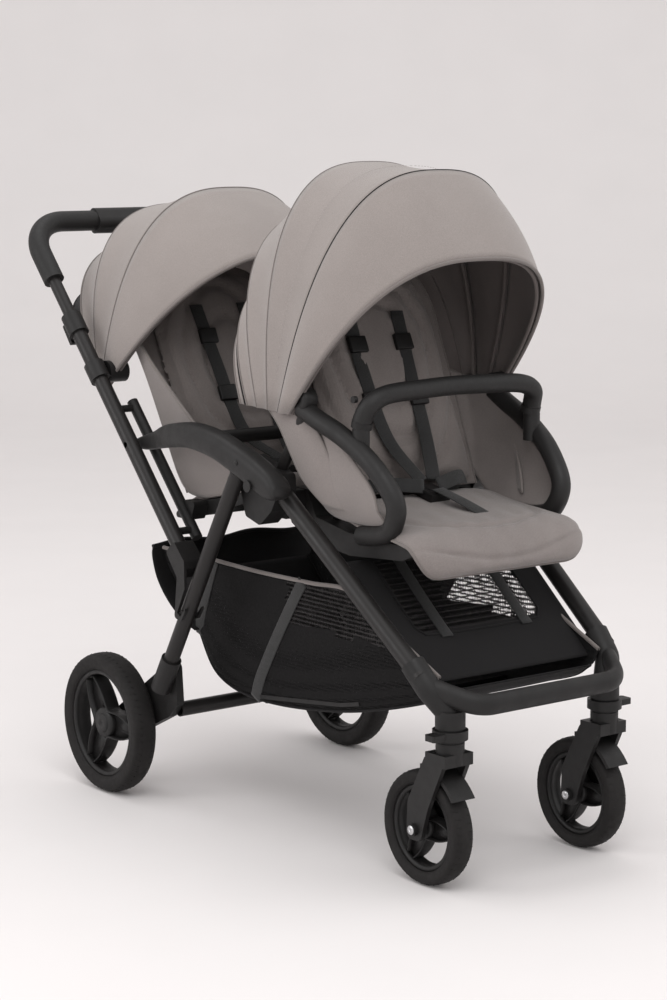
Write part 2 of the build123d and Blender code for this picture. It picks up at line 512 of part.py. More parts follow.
for side, sign in (("left", 1), ("right", -1)):
    rear_wheel(side, sign)
    front_wheel(side, sign)
    caster(side, sign)
front_frame()
leg_rest()
front_back()
snack_bar()
rear_legs()
armrests()
handle()
rear_seat()
canopies()
basket()
buckles()

overall = Compound(children=[s for pieces in EVERYTHING.values() for s in pieces]).bounding_box()
origin_y = round((overall.min.Y + overall.max.Y) / 2, 1)
print("origin_y", origin_y, "box", overall.size)
for node, pieces in EVERYTHING.items():
    moved = [Pos(0, -origin_y, 0) * piece for piece in pieces]
    export_step(Compound(children=moved, label=node), f"parts/{node}.step")
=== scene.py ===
"""The looks of a tandem double pushchair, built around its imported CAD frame."""
import json
import math

import bmesh
import bpy
from mathutils import Vector
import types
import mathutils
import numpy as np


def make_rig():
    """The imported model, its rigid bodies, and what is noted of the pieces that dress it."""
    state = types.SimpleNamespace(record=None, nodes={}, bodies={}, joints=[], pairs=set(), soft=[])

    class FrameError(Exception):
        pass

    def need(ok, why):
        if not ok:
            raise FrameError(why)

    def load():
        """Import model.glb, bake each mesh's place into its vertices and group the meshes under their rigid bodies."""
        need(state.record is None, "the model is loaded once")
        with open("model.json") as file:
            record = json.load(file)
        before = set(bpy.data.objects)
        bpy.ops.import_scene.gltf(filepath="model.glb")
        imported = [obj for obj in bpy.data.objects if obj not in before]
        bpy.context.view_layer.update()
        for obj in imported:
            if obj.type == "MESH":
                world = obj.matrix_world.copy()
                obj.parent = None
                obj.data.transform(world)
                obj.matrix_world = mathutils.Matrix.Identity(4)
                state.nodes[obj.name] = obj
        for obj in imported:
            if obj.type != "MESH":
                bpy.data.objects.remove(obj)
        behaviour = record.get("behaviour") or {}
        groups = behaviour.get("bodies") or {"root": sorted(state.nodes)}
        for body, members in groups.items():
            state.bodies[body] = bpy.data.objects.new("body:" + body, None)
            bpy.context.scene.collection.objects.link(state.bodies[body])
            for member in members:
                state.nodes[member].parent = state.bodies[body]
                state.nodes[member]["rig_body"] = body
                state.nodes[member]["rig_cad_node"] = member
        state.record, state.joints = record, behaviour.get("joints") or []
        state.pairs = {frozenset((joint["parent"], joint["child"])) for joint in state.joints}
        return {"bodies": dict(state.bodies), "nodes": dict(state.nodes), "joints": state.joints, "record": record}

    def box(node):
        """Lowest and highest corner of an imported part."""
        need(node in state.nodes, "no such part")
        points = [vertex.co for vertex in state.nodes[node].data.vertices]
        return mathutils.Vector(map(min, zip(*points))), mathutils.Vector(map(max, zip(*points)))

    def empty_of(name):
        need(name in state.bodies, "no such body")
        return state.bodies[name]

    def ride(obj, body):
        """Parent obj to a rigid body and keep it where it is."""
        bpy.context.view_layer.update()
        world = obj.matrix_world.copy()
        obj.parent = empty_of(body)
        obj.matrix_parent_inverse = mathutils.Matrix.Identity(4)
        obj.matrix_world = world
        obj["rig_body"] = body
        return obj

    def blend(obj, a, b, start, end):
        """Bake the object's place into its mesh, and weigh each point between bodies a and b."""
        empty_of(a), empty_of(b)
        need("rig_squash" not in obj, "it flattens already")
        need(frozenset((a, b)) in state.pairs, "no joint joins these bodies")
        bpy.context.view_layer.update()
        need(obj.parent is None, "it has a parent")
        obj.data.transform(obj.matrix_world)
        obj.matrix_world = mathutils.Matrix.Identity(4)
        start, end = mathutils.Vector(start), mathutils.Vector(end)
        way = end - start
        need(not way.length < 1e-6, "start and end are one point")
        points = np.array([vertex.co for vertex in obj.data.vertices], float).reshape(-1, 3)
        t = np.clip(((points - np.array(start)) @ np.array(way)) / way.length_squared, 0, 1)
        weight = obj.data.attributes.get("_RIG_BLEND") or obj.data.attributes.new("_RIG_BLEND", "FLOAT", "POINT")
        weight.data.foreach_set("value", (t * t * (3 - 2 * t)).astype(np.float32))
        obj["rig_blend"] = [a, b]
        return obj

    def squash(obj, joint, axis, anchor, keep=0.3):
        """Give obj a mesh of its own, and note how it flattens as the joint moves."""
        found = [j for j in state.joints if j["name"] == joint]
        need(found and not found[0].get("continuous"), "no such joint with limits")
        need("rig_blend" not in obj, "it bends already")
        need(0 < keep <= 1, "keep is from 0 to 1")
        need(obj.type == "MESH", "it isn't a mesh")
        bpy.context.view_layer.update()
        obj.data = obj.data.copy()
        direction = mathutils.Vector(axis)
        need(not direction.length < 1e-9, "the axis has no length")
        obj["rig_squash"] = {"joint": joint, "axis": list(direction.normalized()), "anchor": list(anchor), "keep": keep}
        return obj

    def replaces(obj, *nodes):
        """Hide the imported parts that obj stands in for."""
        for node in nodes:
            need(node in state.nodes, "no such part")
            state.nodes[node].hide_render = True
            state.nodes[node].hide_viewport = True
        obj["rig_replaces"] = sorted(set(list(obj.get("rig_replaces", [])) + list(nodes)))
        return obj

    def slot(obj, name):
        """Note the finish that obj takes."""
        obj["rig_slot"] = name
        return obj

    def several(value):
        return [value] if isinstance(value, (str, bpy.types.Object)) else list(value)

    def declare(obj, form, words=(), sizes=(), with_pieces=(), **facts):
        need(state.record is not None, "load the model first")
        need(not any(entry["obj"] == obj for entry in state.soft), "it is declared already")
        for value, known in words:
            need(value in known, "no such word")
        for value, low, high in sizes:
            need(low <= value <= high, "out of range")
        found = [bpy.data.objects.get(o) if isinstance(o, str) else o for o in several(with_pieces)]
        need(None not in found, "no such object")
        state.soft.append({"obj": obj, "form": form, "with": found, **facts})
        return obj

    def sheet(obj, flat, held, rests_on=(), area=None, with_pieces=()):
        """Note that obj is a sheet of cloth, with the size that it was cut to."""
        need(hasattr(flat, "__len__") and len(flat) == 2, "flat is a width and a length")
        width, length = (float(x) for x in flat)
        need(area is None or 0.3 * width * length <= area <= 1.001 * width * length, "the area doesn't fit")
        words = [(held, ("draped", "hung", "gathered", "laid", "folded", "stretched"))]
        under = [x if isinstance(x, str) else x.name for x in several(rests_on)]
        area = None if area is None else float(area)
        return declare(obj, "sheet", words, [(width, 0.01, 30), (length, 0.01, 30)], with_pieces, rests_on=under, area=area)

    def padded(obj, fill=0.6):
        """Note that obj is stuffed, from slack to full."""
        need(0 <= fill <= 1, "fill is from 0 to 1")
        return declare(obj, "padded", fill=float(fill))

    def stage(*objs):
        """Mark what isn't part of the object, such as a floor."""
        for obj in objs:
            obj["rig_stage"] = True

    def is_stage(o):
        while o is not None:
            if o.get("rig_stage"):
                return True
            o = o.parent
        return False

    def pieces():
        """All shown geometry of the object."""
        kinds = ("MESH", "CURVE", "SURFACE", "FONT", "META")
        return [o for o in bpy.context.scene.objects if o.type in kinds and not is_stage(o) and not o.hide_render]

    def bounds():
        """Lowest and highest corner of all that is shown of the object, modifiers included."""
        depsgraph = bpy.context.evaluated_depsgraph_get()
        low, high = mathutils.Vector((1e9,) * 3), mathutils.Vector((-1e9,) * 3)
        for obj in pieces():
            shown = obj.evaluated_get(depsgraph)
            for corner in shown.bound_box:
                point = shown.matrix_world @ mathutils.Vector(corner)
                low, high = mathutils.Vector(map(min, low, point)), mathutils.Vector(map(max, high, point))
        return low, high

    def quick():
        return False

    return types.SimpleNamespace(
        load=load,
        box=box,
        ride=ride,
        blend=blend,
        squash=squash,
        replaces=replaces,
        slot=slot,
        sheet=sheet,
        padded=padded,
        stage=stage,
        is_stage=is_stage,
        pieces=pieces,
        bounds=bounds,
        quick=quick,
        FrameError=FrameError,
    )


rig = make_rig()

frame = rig.load()
CAD_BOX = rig.bounds()
MM = 0.001
SIDES = (("left", 1), ("right", -1))


# ---- places, all read from the frame ----
def middle(node):
    low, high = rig.box(node)
    return (low + high) / 2


def joint_at(name):
    return Vector(next(j for j in frame["joints"] if j["name"] == name)["pos_m"])


AXLE_BACK, AXLE_FRONT = middle("rear_tyre_left"), middle("front_tyre_left")
MID_Y = (AXLE_BACK.y + AXLE_FRONT.y) / 2      # halfway between the axles


def at(x, y, z):
    """A point in millimetres from the floor, midway between the axles."""
    return Vector((x * MM, y * MM + MID_Y, z * MM))


FRONT_PIVOT = joint_at("front_canopy_fold")
REAR_PIVOT = joint_at("rear_canopy_fold")


# ---- node trees ----
class Nodes:
    """A short way to write a material's nodes."""

    def __init__(self, name):
        self.material = bpy.data.materials.new(name)
        self.material.use_nodes = True
        self.tree = self.material.node_tree
        self.shader = self.tree.nodes["Principled BSDF"]
        self.coords = self.tree.nodes.new("ShaderNodeTexCoord").outputs["Object"]

    def add(self, kind, inputs=None, **settings):
        node = self.tree.nodes.new("ShaderNode" + kind)
        for key, value in settings.items():
            setattr(node, key, value)
        for key, value in (inputs or {}).items():
            if isinstance(value, bpy.types.NodeSocket):
                self.tree.links.new(value, node.inputs[key])
            else:
                node.inputs[key].default_value = value
        return node

    def noise(self, scale, detail=3.0, stretch=None, roughness=0.6):
        source = self.coords
        if stretch:
            source = self.add("Mapping", {"Vector": self.coords, "Scale": stretch}).outputs["Vector"]
        return self.add("TexNoise", {"Vector": source, "Scale": scale, "Detail": detail,
                                     "Roughness": roughness}).outputs["Fac"]

    def wave(self, scale, direction, distortion=0.0):
        return self.add("TexWave", {"Vector": self.coords, "Scale": scale, "Distortion": distortion},
                        wave_type="BANDS", bands_direction=direction).outputs["Fac"]

    def math(self, operation, a, b):
        return self.add("Math", {0: a, 1: b}, operation=operation).outputs["Value"]

    def ramp(self, value, stops):
        node = self.add("ValToRGB", {"Fac": value})
        elements = node.color_ramp.elements
        while len(elements) < len(stops):
            elements.new(0.5)
        for element, (place, colour) in zip(elements, stops):
            element.position = place
            element.color = (*colour, 1.0) if isinstance(colour, tuple) else (colour, colour, colour, 1.0)
        return node.outputs["Color"]

    def set(self, **values):
        for key, value in values.items():
            socket = self.shader.inputs[key.replace("_", " ")]
            if isinstance(value, bpy.types.NodeSocket):
                self.tree.links.new(value, socket)
            else:
                socket.default_value = value
        return self

    def bump(self, height, strength, distance=0.0004):
        node = self.add("Bump", {"Height": height, "Strength": strength, "Distance": distance})
        return self.set(Normal=node.outputs["Normal"])


def shades(colour, spread):
    return tuple(c * (1 - spread) for c in colour), tuple(min(1.0, c * (1 + spread)) for c in colour)


def fabric(name, colour, fleck=0.16, weave=900.0, sheen=0.25):
    """Melange cloth: fine two-tone flecks, a woven bump and slow shade changes."""
    n = Nodes(name)
    dark, light = shades(colour, fleck)
    flecks = n.noise(1500.0, 2.0, stretch=(1.0, 0.35, 1.0))
    cross = n.noise(1300.0, 2.0, stretch=(0.35, 1.0, 0.5))
    mixed = n.math("ADD", n.math("MULTIPLY", flecks, 0.5), n.math("MULTIPLY", cross, 0.5))
    slow = n.math("MULTIPLY", n.noise(9.0, 3.0), 0.22)
    value = n.math("ADD", mixed, n.math("SUBTRACT", slow, 0.11))
    n.set(Base_Color=n.ramp(value, [(0.36, dark), (0.5, colour), (0.64, light)]))
    n.set(Roughness=n.ramp(flecks, [(0.3, 0.8), (0.7, 0.94)]))
    n.set(Sheen_Weight=sheen, Sheen_Roughness=0.5, Specular_IOR_Level=0.15)
    threads = n.math("ADD", n.wave(weave, "X"), n.math("ADD", n.wave(weave, "Y"), n.wave(weave, "Z")))
    n.bump(n.math("ADD", n.math("MULTIPLY", threads, 0.25), n.math("MULTIPLY", cross, 0.8)), 0.35)
    return n.material


def plastic(name, colour, rough=(0.42, 0.56), grain=1800.0, bump=0.12):
    """Moulded plastic with a fine spark-eroded grain and faint handling marks."""
    n = Nodes(name)
    dark, light = shades(colour, 0.12)
    n.set(Base_Color=n.ramp(n.noise(14.0, 4.0), [(0.35, dark), (0.65, light)]))
    n.set(Roughness=n.ramp(n.noise(55.0, 5.0), [(0.35, rough[0]), (0.65, rough[1])]))
    n.set(Specular_IOR_Level=0.3)
    n.bump(n.noise(grain, 2.0), bump, 0.0002)
    return n.material


def painted(name, colour):
    """Powder-coated tube: satin, with a slight orange peel and metal under the colour."""
    n = Nodes(name)
    dark, light = shades(colour, 0.08)
    n.set(Base_Color=n.ramp(n.noise(20.0, 3.0), [(0.3, dark), (0.7, light)]))
    n.set(Roughness=n.ramp(n.noise(80.0, 4.0), [(0.3, 0.36), (0.7, 0.47)]))
    n.set(Metallic=0.2, Specular_IOR_Level=0.35)
    n.bump(n.noise(700.0, 2.0), 0.08, 0.0003)
    return n.material


def steel(name):
    n = Nodes(name)
    n.set(Base_Color=n.ramp(n.noise(60.0, 3.0), [(0.3, (0.5, 0.5, 0.51)), (0.7, (0.66, 0.66, 0.67))]))
    n.set(Roughness=n.ramp(n.noise(300.0, 3.0, stretch=(1, 1, 12)), [(0.3, 0.22), (0.7, 0.38)]))
    n.set(Metallic=1.0)
    n.bump(n.noise(900.0, 2.0), 0.06, 0.0002)
    return n.material


def rubber(name, colour):
    n = Nodes(name)
    dark, light = shades(colour, 0.18)
    n.set(Base_Color=n.ramp(n.noise(30.0, 5.0), [(0.35, dark), (0.68, light)]))
    n.set(Roughness=n.ramp(n.noise(120.0, 4.0), [(0.3, 0.62), (0.7, 0.82)]))
    n.set(Specular_IOR_Level=0.22)
    n.bump(n.noise(2200.0, 2.0), 0.2, 0.0002)
    return n.material


def leatherette(name, colour):
    """Pebbled grip cover: cells as grain, with creases in a second size."""
    n = Nodes(name)
    cells = n.add("TexVoronoi", {"Vector": n.coords, "Scale": 900.0}).outputs["Distance"]
    dark, light = shades(colour, 0.2)
    n.set(Base_Color=n.ramp(cells, [(0.1, light), (0.6, dark)]))
    n.set(Roughness=n.ramp(n.noise(200.0, 3.0), [(0.3, 0.48), (0.7, 0.62)]))
    n.set(Specular_IOR_Level=0.35)
    n.bump(n.math("SUBTRACT", n.noise(300.0, 3.0), cells), 0.3, 0.0003)
    return n.material


def webbing(name, colour):
    """Woven strap: tight ribs along and across."""
    n = Nodes(name)
    dark, light = shades(colour, 0.3)
    ribs = n.math("ADD", n.wave(520.0, "X"), n.math("MULTIPLY", n.wave(700.0, "Z"), 0.7))
    n.set(Base_Color=n.ramp(n.math("MULTIPLY", ribs, 0.55), [(0.2, dark), (0.8, light)]))
    n.set(Roughness=n.ramp(n.noise(500.0, 2.0), [(0.3, 0.66), (0.7, 0.8)]))
    n.set(Sheen_Weight=0.15)
    n.bump(ribs, 0.4, 0.0003)
    return n.material


def net(name, colour, cell, open_share):
    """Warp-knit mesh: round holes in staggered rows let what is behind show through."""
    n = Nodes(name)
    place = n.add("Mapping", {"Vector": n.coords, "Scale": (1.0, 1.0, 0.62)}).outputs["Vector"]
    holes = n.add("TexVoronoi", {"Vector": place, "Scale": 1 / cell, "Randomness": 0.12}).outputs["Distance"]
    solid = n.ramp(holes, [(open_share - 0.04, 0.0), (open_share + 0.04, 1.0)])
    dark, light = shades(colour, 0.25)
    n.set(Base_Color=n.ramp(n.noise(900.0, 2.0), [(0.35, dark), (0.65, light)]))
    n.set(Specular_IOR_Level=0.12)
    n.set(Alpha=solid, Roughness=n.ramp(n.noise(300.0, 2.0), [(0.3, 0.7), (0.7, 0.85)]))
    n.bump(holes, 0.4, 0.0004)
    return n.material


TAUPE = (0.262, 0.232, 0.219)
TAUPE_DEEP = (0.125, 0.108, 0.103)
CLOTH = fabric("canopy_cloth", TAUPE, 0.13)
SEAT_CLOTH = fabric("seat_cloth", (0.212, 0.187, 0.178), 0.14)
INSERT_CLOTH = fabric("insert_cloth", (0.196, 0.172, 0.163), 0.14)
LINING = fabric("canopy_lining", TAUPE_DEEP, 0.12, sheen=0.1)
BINDING = fabric("binding_tape", (0.165, 0.145, 0.137), 0.1, weave=1400.0)
BLACK_CLOTH = fabric("black_cloth", (0.011, 0.0103, 0.0108), 0.3, sheen=0.05)
THREAD = fabric("stitch_thread", (0.33, 0.295, 0.28), 0.1, weave=2400.0)
WEBBING = webbing("black_webbing", (0.009, 0.0088, 0.009))
BLACK_NET = net("black_net", (0.008, 0.0076, 0.0078), 0.0034, 0.26)
WINDOW_NET = net("window_net", (0.03, 0.028, 0.028), 0.0042, 0.58)
PAINT = painted("charcoal_paint", (0.0155, 0.0140, 0.0138))
PLASTIC = plastic("black_plastic", (0.0105, 0.0098, 0.0098))
SOFT_PLASTIC = plastic("soft_black_plastic", (0.0125, 0.0117, 0.0117), rough=(0.46, 0.58), bump=0.2)
RUBBER = rubber("tyre_rubber", (0.0135, 0.0122, 0.0120))
GRIP = leatherette("grip_cover", (0.0115, 0.0108, 0.0108))
STEEL = steel("bolt_steel")

for node in frame["nodes"].values():
    name = node.name
    finish = PLASTIC
    if any(word in name for word in ("tubes", "tube", "bow")):
        finish = PAINT
    if name in ("rear_axles", "brake_pin_left", "brake_pin_right"):
        finish = STEEL
    if name in ("handle_grips", "snack_bar"):
        finish = GRIP
    if name in ("armrest_shells", "rear_guard_bar", "front_crossbar", "handle_housing"):
        finish = SOFT_PLASTIC
    node.data.materials.clear()
    node.data.materials.append(finish)


# ---- mesh helpers ----
def shown(name, mesh, *materials):
    """An object for a mesh, with its materials and smooth faces."""
    for polygon in mesh.polygons:
        polygon.use_smooth = True
    piece = bpy.data.objects.new(name, mesh)
    bpy.context.scene.collection.objects.link(piece)
    for material in materials:
        mesh.materials.append(material)
    return piece


def built(name, made, *materials):
    """An object from a bmesh, which is freed."""
    mesh = bpy.data.meshes.new(name)
    made.to_mesh(mesh)
    made.free()
    return shown(name, mesh, *materials)


def apply(piece):
    """The piece with its modifiers made part of its mesh."""
    depsgraph = bpy.context.evaluated_depsgraph_get()
    mesh = bpy.data.meshes.new_from_object(piece.evaluated_get(depsgraph))
    piece.modifiers.clear()
    piece.data = mesh
    return piece


def grid(point, across, along):
    """A bmesh of points from point(u, v), with u and v from 0 to 1."""
    made = bmesh.new()
    rows = [[made.verts.new(point(i / across, k / along)) for i in range(across + 1)] for k in range(along + 1)]
    for k in range(along):
        for i in range(across):
            made.faces.new((rows[k][i], rows[k][i + 1], rows[k + 1][i + 1], rows[k + 1][i]))
    made.normal_update()
    return made


def cloth_sheet(name, point, across, along, materials, thick):
    """A thin closed sheet; its second material is on the side that faces inwards."""
    made = grid(point, across, along)
    mesh = bpy.data.meshes.new(name)
    made.to_mesh(mesh)
    area = sum(face.calc_area() for face in made.faces)
    made.free()
    size = cut_size(point, across, along)
    piece = shown(name, mesh, *materials)
    solid = piece.modifiers.new("thickness", "SOLIDIFY")
    solid.thickness = thick
    solid.offset = 0.0
    solid.material_offset = 1 if len(materials) > 1 else 0
    solid.material_offset_rim = 0
    apply(piece)
    piece["cut"] = (*size, area)
    return piece


def cut_size(point, across, along):
    """The longest row and the longest column of a sheet before it is sewn to shape."""
    def length(line):
        return sum((b - a).length for a, b in zip(line, line[1:]))
    rows = [length([point(i / across, k / along) for i in range(across + 1)]) for k in range(along + 1)]
    columns = [length([point(i / across, k / along) for k in range(along + 1)]) for i in range(across + 1)]
    return max(rows), max(columns)


def declare(piece, held):
    """Says that a piece is a sheet of cloth, and how large it was cut."""
    width, length, area = piece["cut"]
    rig.sheet(piece, flat=(width, length), held=held, area=area)


def place(piece, slot_name, body):
    """Names a piece's material slot and the body that carries it."""
    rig.slot(piece, slot_name)
    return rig.ride(piece, body)


def pipe(name, points, radius, material, closed=False, sides=3, poly=False):
    """A round cord of cloth or metal along points, as a mesh."""
    curve = bpy.data.curves.new(name, "CURVE")
    curve.dimensions = "3D"
    curve.bevel_depth = radius
    curve.bevel_resolution = sides
    curve.use_fill_caps = True
    spline = curve.splines.new("POLY" if poly else "NURBS")
    spline.points.add(len(points) - 1)
    for target, p in zip(spline.points, points):
        target.co = (*p, 1.0)
    spline.use_cyclic_u = closed
    if not poly:
        spline.order_u = 4
        spline.use_endpoint_u = not closed
        spline.resolution_u = 4
    holder = bpy.data.objects.new(name + "_curve", curve)
    bpy.context.scene.collection.objects.link(holder)
    mesh = bpy.data.meshes.new_from_object(holder.evaluated_get(bpy.context.evaluated_depsgraph_get()))
    bpy.data.objects.remove(holder)
    mesh.materials.clear()
    return shown(name, mesh, material)


def smooth_line(points, steps=10):
    """Points along a Catmull-Rom curve through the given ones."""
    out = []
    padded = [points[0] * 2 - points[1], *points, points[-1] * 2 - points[-2]]
    for a, b, c, d in zip(padded, padded[1:], padded[2:], padded[3:]):
        for k in range(steps):
            t = k / steps
            out.append(0.5 * (2 * b + (c - a) * t + (2 * a - 5 * b + 4 * c - d) * t * t
                              + (3 * b - a - 3 * c + d) * t ** 3))
    return out + [points[-1]]


def profile_line(points, steps):
    """A smooth line through (y, z) points in the middle plane."""
    return smooth_line([at(0, *p) for p in points], steps)


def pick(line, t):
    """The point a share t of the way through a line's points."""
    k = min(int(t * (len(line) - 1)), len(line) - 2)
    return line[k].lerp(line[k + 1], t * (len(line) - 1) - k)


def strap(name, points, width, material, side=Vector((1, 0, 0)), thick=1.6):
    """A flat woven strap along points, with slightly rounded edges."""
    line = smooth_line([at(*p) for p in points], 8)
    made = bmesh.new()
    half, deep = width / 2 * MM, thick / 2 * MM
    profile = [(-half, -deep * 0.5), (-half * 0.9, -deep), (half * 0.9, -deep), (half, -deep * 0.5),
               (half, deep * 0.5), (half * 0.9, deep), (-half * 0.9, deep), (-half, deep * 0.5)]
    rings = []
    for k, p in enumerate(line):
        ahead = (line[min(k + 1, len(line) - 1)] - line[max(k - 1, 0)]).normalized()
        across = (side - ahead * side.dot(ahead)).normalized()
        normal = ahead.cross(across)
        rings.append([made.verts.new(p + across * a + normal * b) for a, b in profile])
    for r, s in zip(rings, rings[1:]):
        for k in range(8):
            made.faces.new((r[k], r[(k + 1) % 8], s[(k + 1) % 8], s[k]))
    made.faces.new(rings[0][::-1])
    made.faces.new(rings[-1])
    piece = built(name, made, material)
    length = sum((b - a).length for a, b in zip(line, line[1:]))
    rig.sheet(piece, flat=(width * MM, length), held="stretched")
    return piece


def block(name, centre, size, material, tilt=0.0, bevel=2.0):
    """A moulded block with rounded edges, turned about X."""
    made = bmesh.new()
    bmesh.ops.create_cube(made, size=1.0)
    for vert in made.verts:
        vert.co = Vector((vert.co.x * size[0], vert.co.y * size[1], vert.co.z * size[2])) * MM
    bmesh.ops.bevel(made, geom=made.edges[:], offset=bevel * MM, segments=3, affect="EDGES", profile=0.6)
    cos, sin = math.cos(math.radians(tilt)), math.sin(math.radians(tilt))
    where = at(*centre)
    for vert in made.verts:
        x, y, z = vert.co
        vert.co = where + Vector((x, y * cos - z * sin, y * sin + z * cos))
    return built(name, made, material)


def turned(x, radius, angle):
    """A point at a radius and an angle round the X axis."""
    return Vector((x, radius * math.cos(angle), radius * math.sin(angle)))


def lathe(name, profile, centre, material, segments):
    """A ring turned about the X axis through centre, from a closed profile of (x, radius)."""
    made = bmesh.new()
    rings = []
    for k in range(segments):
        angle = 2 * math.pi * k / segments
        rings.append([made.verts.new(centre + turned(x, r, angle)) for x, r in profile])
    count = len(profile)
    for k in range(segments):
        here, there = rings[k], rings[(k + 1) % segments]
        for i in range(count):
            made.faces.new((here[i], here[(i + 1) % count], there[(i + 1) % count], there[i]))
    bmesh.ops.recalc_face_normals(made, faces=made.faces[:])
    return built(name, made, material)


# ---- canopies ----
ARCH = 2.65       # how square the arch across the canopy is


class Arch:
    """A line of cloth over the seat: its feet (y, z), its top as an angle and reach, its half-width."""

    def __init__(self, pivot, foot, degrees, reach, half):
        a = math.radians(degrees)
        self.foot = at(0, *foot)
        self.top = pivot + Vector((0, reach * math.cos(a), reach * math.sin(a))) * MM
        self.half = half

    def point(self, u, lift=0.0):
        """u runs from 0 at the left foot to 1 at the right one."""
        phi = math.pi * u
        c, s = math.cos(phi), max(math.sin(phi), 0.0)
        x = (self.half + lift) * math.copysign(abs(c) ** (2 / ARCH), c)
        rise = self.top - self.foot
        tall = rise + rise.normalized() * lift * MM
        return self.foot + tall * s ** (2 / ARCH) + Vector((x * MM, 0, 0))

    def between(self, other, t):
        made = Arch.__new__(Arch)
        made.foot = self.foot.lerp(other.foot, t)
        made.top = self.top.lerp(other.top, t)
        made.half = self.half + (other.half - self.half) * t
        return made


def panel(name, a, b, bodies=None, body=None, sag=4.0, cloth=None):
    """Cloth between two arches, drawn in a little between them; each row of it follows its own share."""
    across, along = 72, 14

    def point(u, v):
        return a.between(b, v).point(u, -sag * math.sin(math.pi * v))

    piece = cloth_sheet(name, point, across, along, (cloth or CLOTH, LINING), 0.0022)
    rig.slot(piece, "grey_fabric")
    if bodies:
        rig.blend(piece, *bodies, start=a.point(0.5), end=b.point(0.5))
        rows = (across + 1) * (along + 1)
        weights = [(k % rows) // (across + 1) / along for k in range(len(piece.data.vertices))]
        piece.data.attributes["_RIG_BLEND"].data.foreach_set("value", weights)
    else:
        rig.ride(piece, body)
    declare(piece, "stretched")
    return piece


def seam(name, arch, body, radius=0.9, material=None, lift=1.1, span=(0.0, 1.0)):
    """A piped seam standing on the cloth over an arch."""
    count = 80
    points = [arch.point(span[0] + (span[1] - span[0]) * k / count, lift) for k in range(count + 1)]
    piece = pipe(name, points, radius * MM, material or BINDING)
    return place(piece, "grey_fabric", body)


def stitches(name, arch, body):
    """A row of short thread stitches beside a seam."""
    made = bmesh.new()
    count = 150
    for k in range(4, count - 4):
        a = arch.point(k / count, 1.3)
        b = arch.point((k + 0.55) / count, 1.3)
        along = (b - a)
        across = along.cross(Vector((0.3, 0.4, 0.9))).normalized() * 0.35 * MM
        lift = across.cross(along).normalized() * 0.3 * MM
        ring = [[made.verts.new(p + o) for o in (across, lift, -across, -lift)] for p in (a, b)]
        for i in range(4):
            made.faces.new((ring[0][i], ring[0][(i + 1) % 4], ring[1][(i + 1) % 4], ring[1][i]))
        made.faces.new(ring[0][::-1])
        made.faces.new(ring[1])
    piece = built(name, made, THREAD)
    return place(piece, "grey_fabric", body)


def rib(name, arch, body, node):
    """The sprung bow in its sleeve, just inside the cloth."""
    points = [arch.point(k / 60, -7.0) for k in range(61)]
    piece = pipe(name, points, 3.2 * MM, LINING)
    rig.replaces(piece, node)
    return place(piece, "inner_fabric", body)


def front_canopy():
    p = FRONT_PIVOT
    flap = Arch(p, (34, 672), 35, 255, 203)
    rear_edge = Arch(p, (14, 671), 41, 275, 206)
    mid_rear = Arch(p, (-14, 670), 56, 325, 208)
    bow_1 = Arch(p, (-42, 669), 76, 357, 209)
    bow_2 = Arch(p, (-68, 668), 103, 345, 209)
    rim = Arch(p, (-92, 668), 131, 277, 207)
    first = panel("front_canopy_rear", rear_edge, mid_rear, body="front_frame")
    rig.replaces(first, "front_canopy_fabric")
    panel("front_canopy_back", mid_rear, bow_1, ("front_frame", "front_canopy_bow_1"))
    panel("front_canopy_crown", bow_1, bow_2, ("front_canopy_bow_1", "front_canopy_bow_2"))
    panel("front_canopy_visor", bow_2, rim, ("front_canopy_bow_2", "front_canopy_rim"), sag=-7)
    panel("front_canopy_flap", flap, flap.between(rear_edge, 0.55), body="front_frame", sag=0)
    panel("front_canopy_zip_band", flap.between(rear_edge, 0.5), rear_edge, body="front_frame",
          sag=1.5, cloth=BLACK_CLOTH)
    seam("front_canopy_seam_rear", mid_rear, "front_frame")
    seam("front_canopy_seam_1", bow_1, "front_canopy_bow_1")
    seam("front_canopy_seam_2", bow_2, "front_canopy_bow_2", radius=0.9, material=BLACK_CLOTH)
    seam("front_canopy_piping", rim, "front_canopy_rim", radius=2.8, lift=0.5)
    seam("front_canopy_edge_piping", rear_edge, "front_frame", radius=1.8, lift=0.4)
    seam("front_canopy_flap_piping", flap, "front_frame", radius=2.6, lift=0.2)
    rib("front_canopy_rib_1", bow_1, "front_canopy_bow_1", "front_canopy_bow_1")
    rib("front_canopy_rib_2", bow_2, "front_canopy_bow_2", "front_canopy_bow_2")
    rib("front_canopy_rib_3", rim.between(bow_2, 0.04), "front_canopy_rim", "front_canopy_bow_3")
    stitches("front_canopy_rim_stitches", rim.between(bow_2, 0.07), "front_canopy_rim")
    stitches("front_canopy_crown_stitches", bow_1.between(bow_2, 0.55), "front_canopy_bow_1")


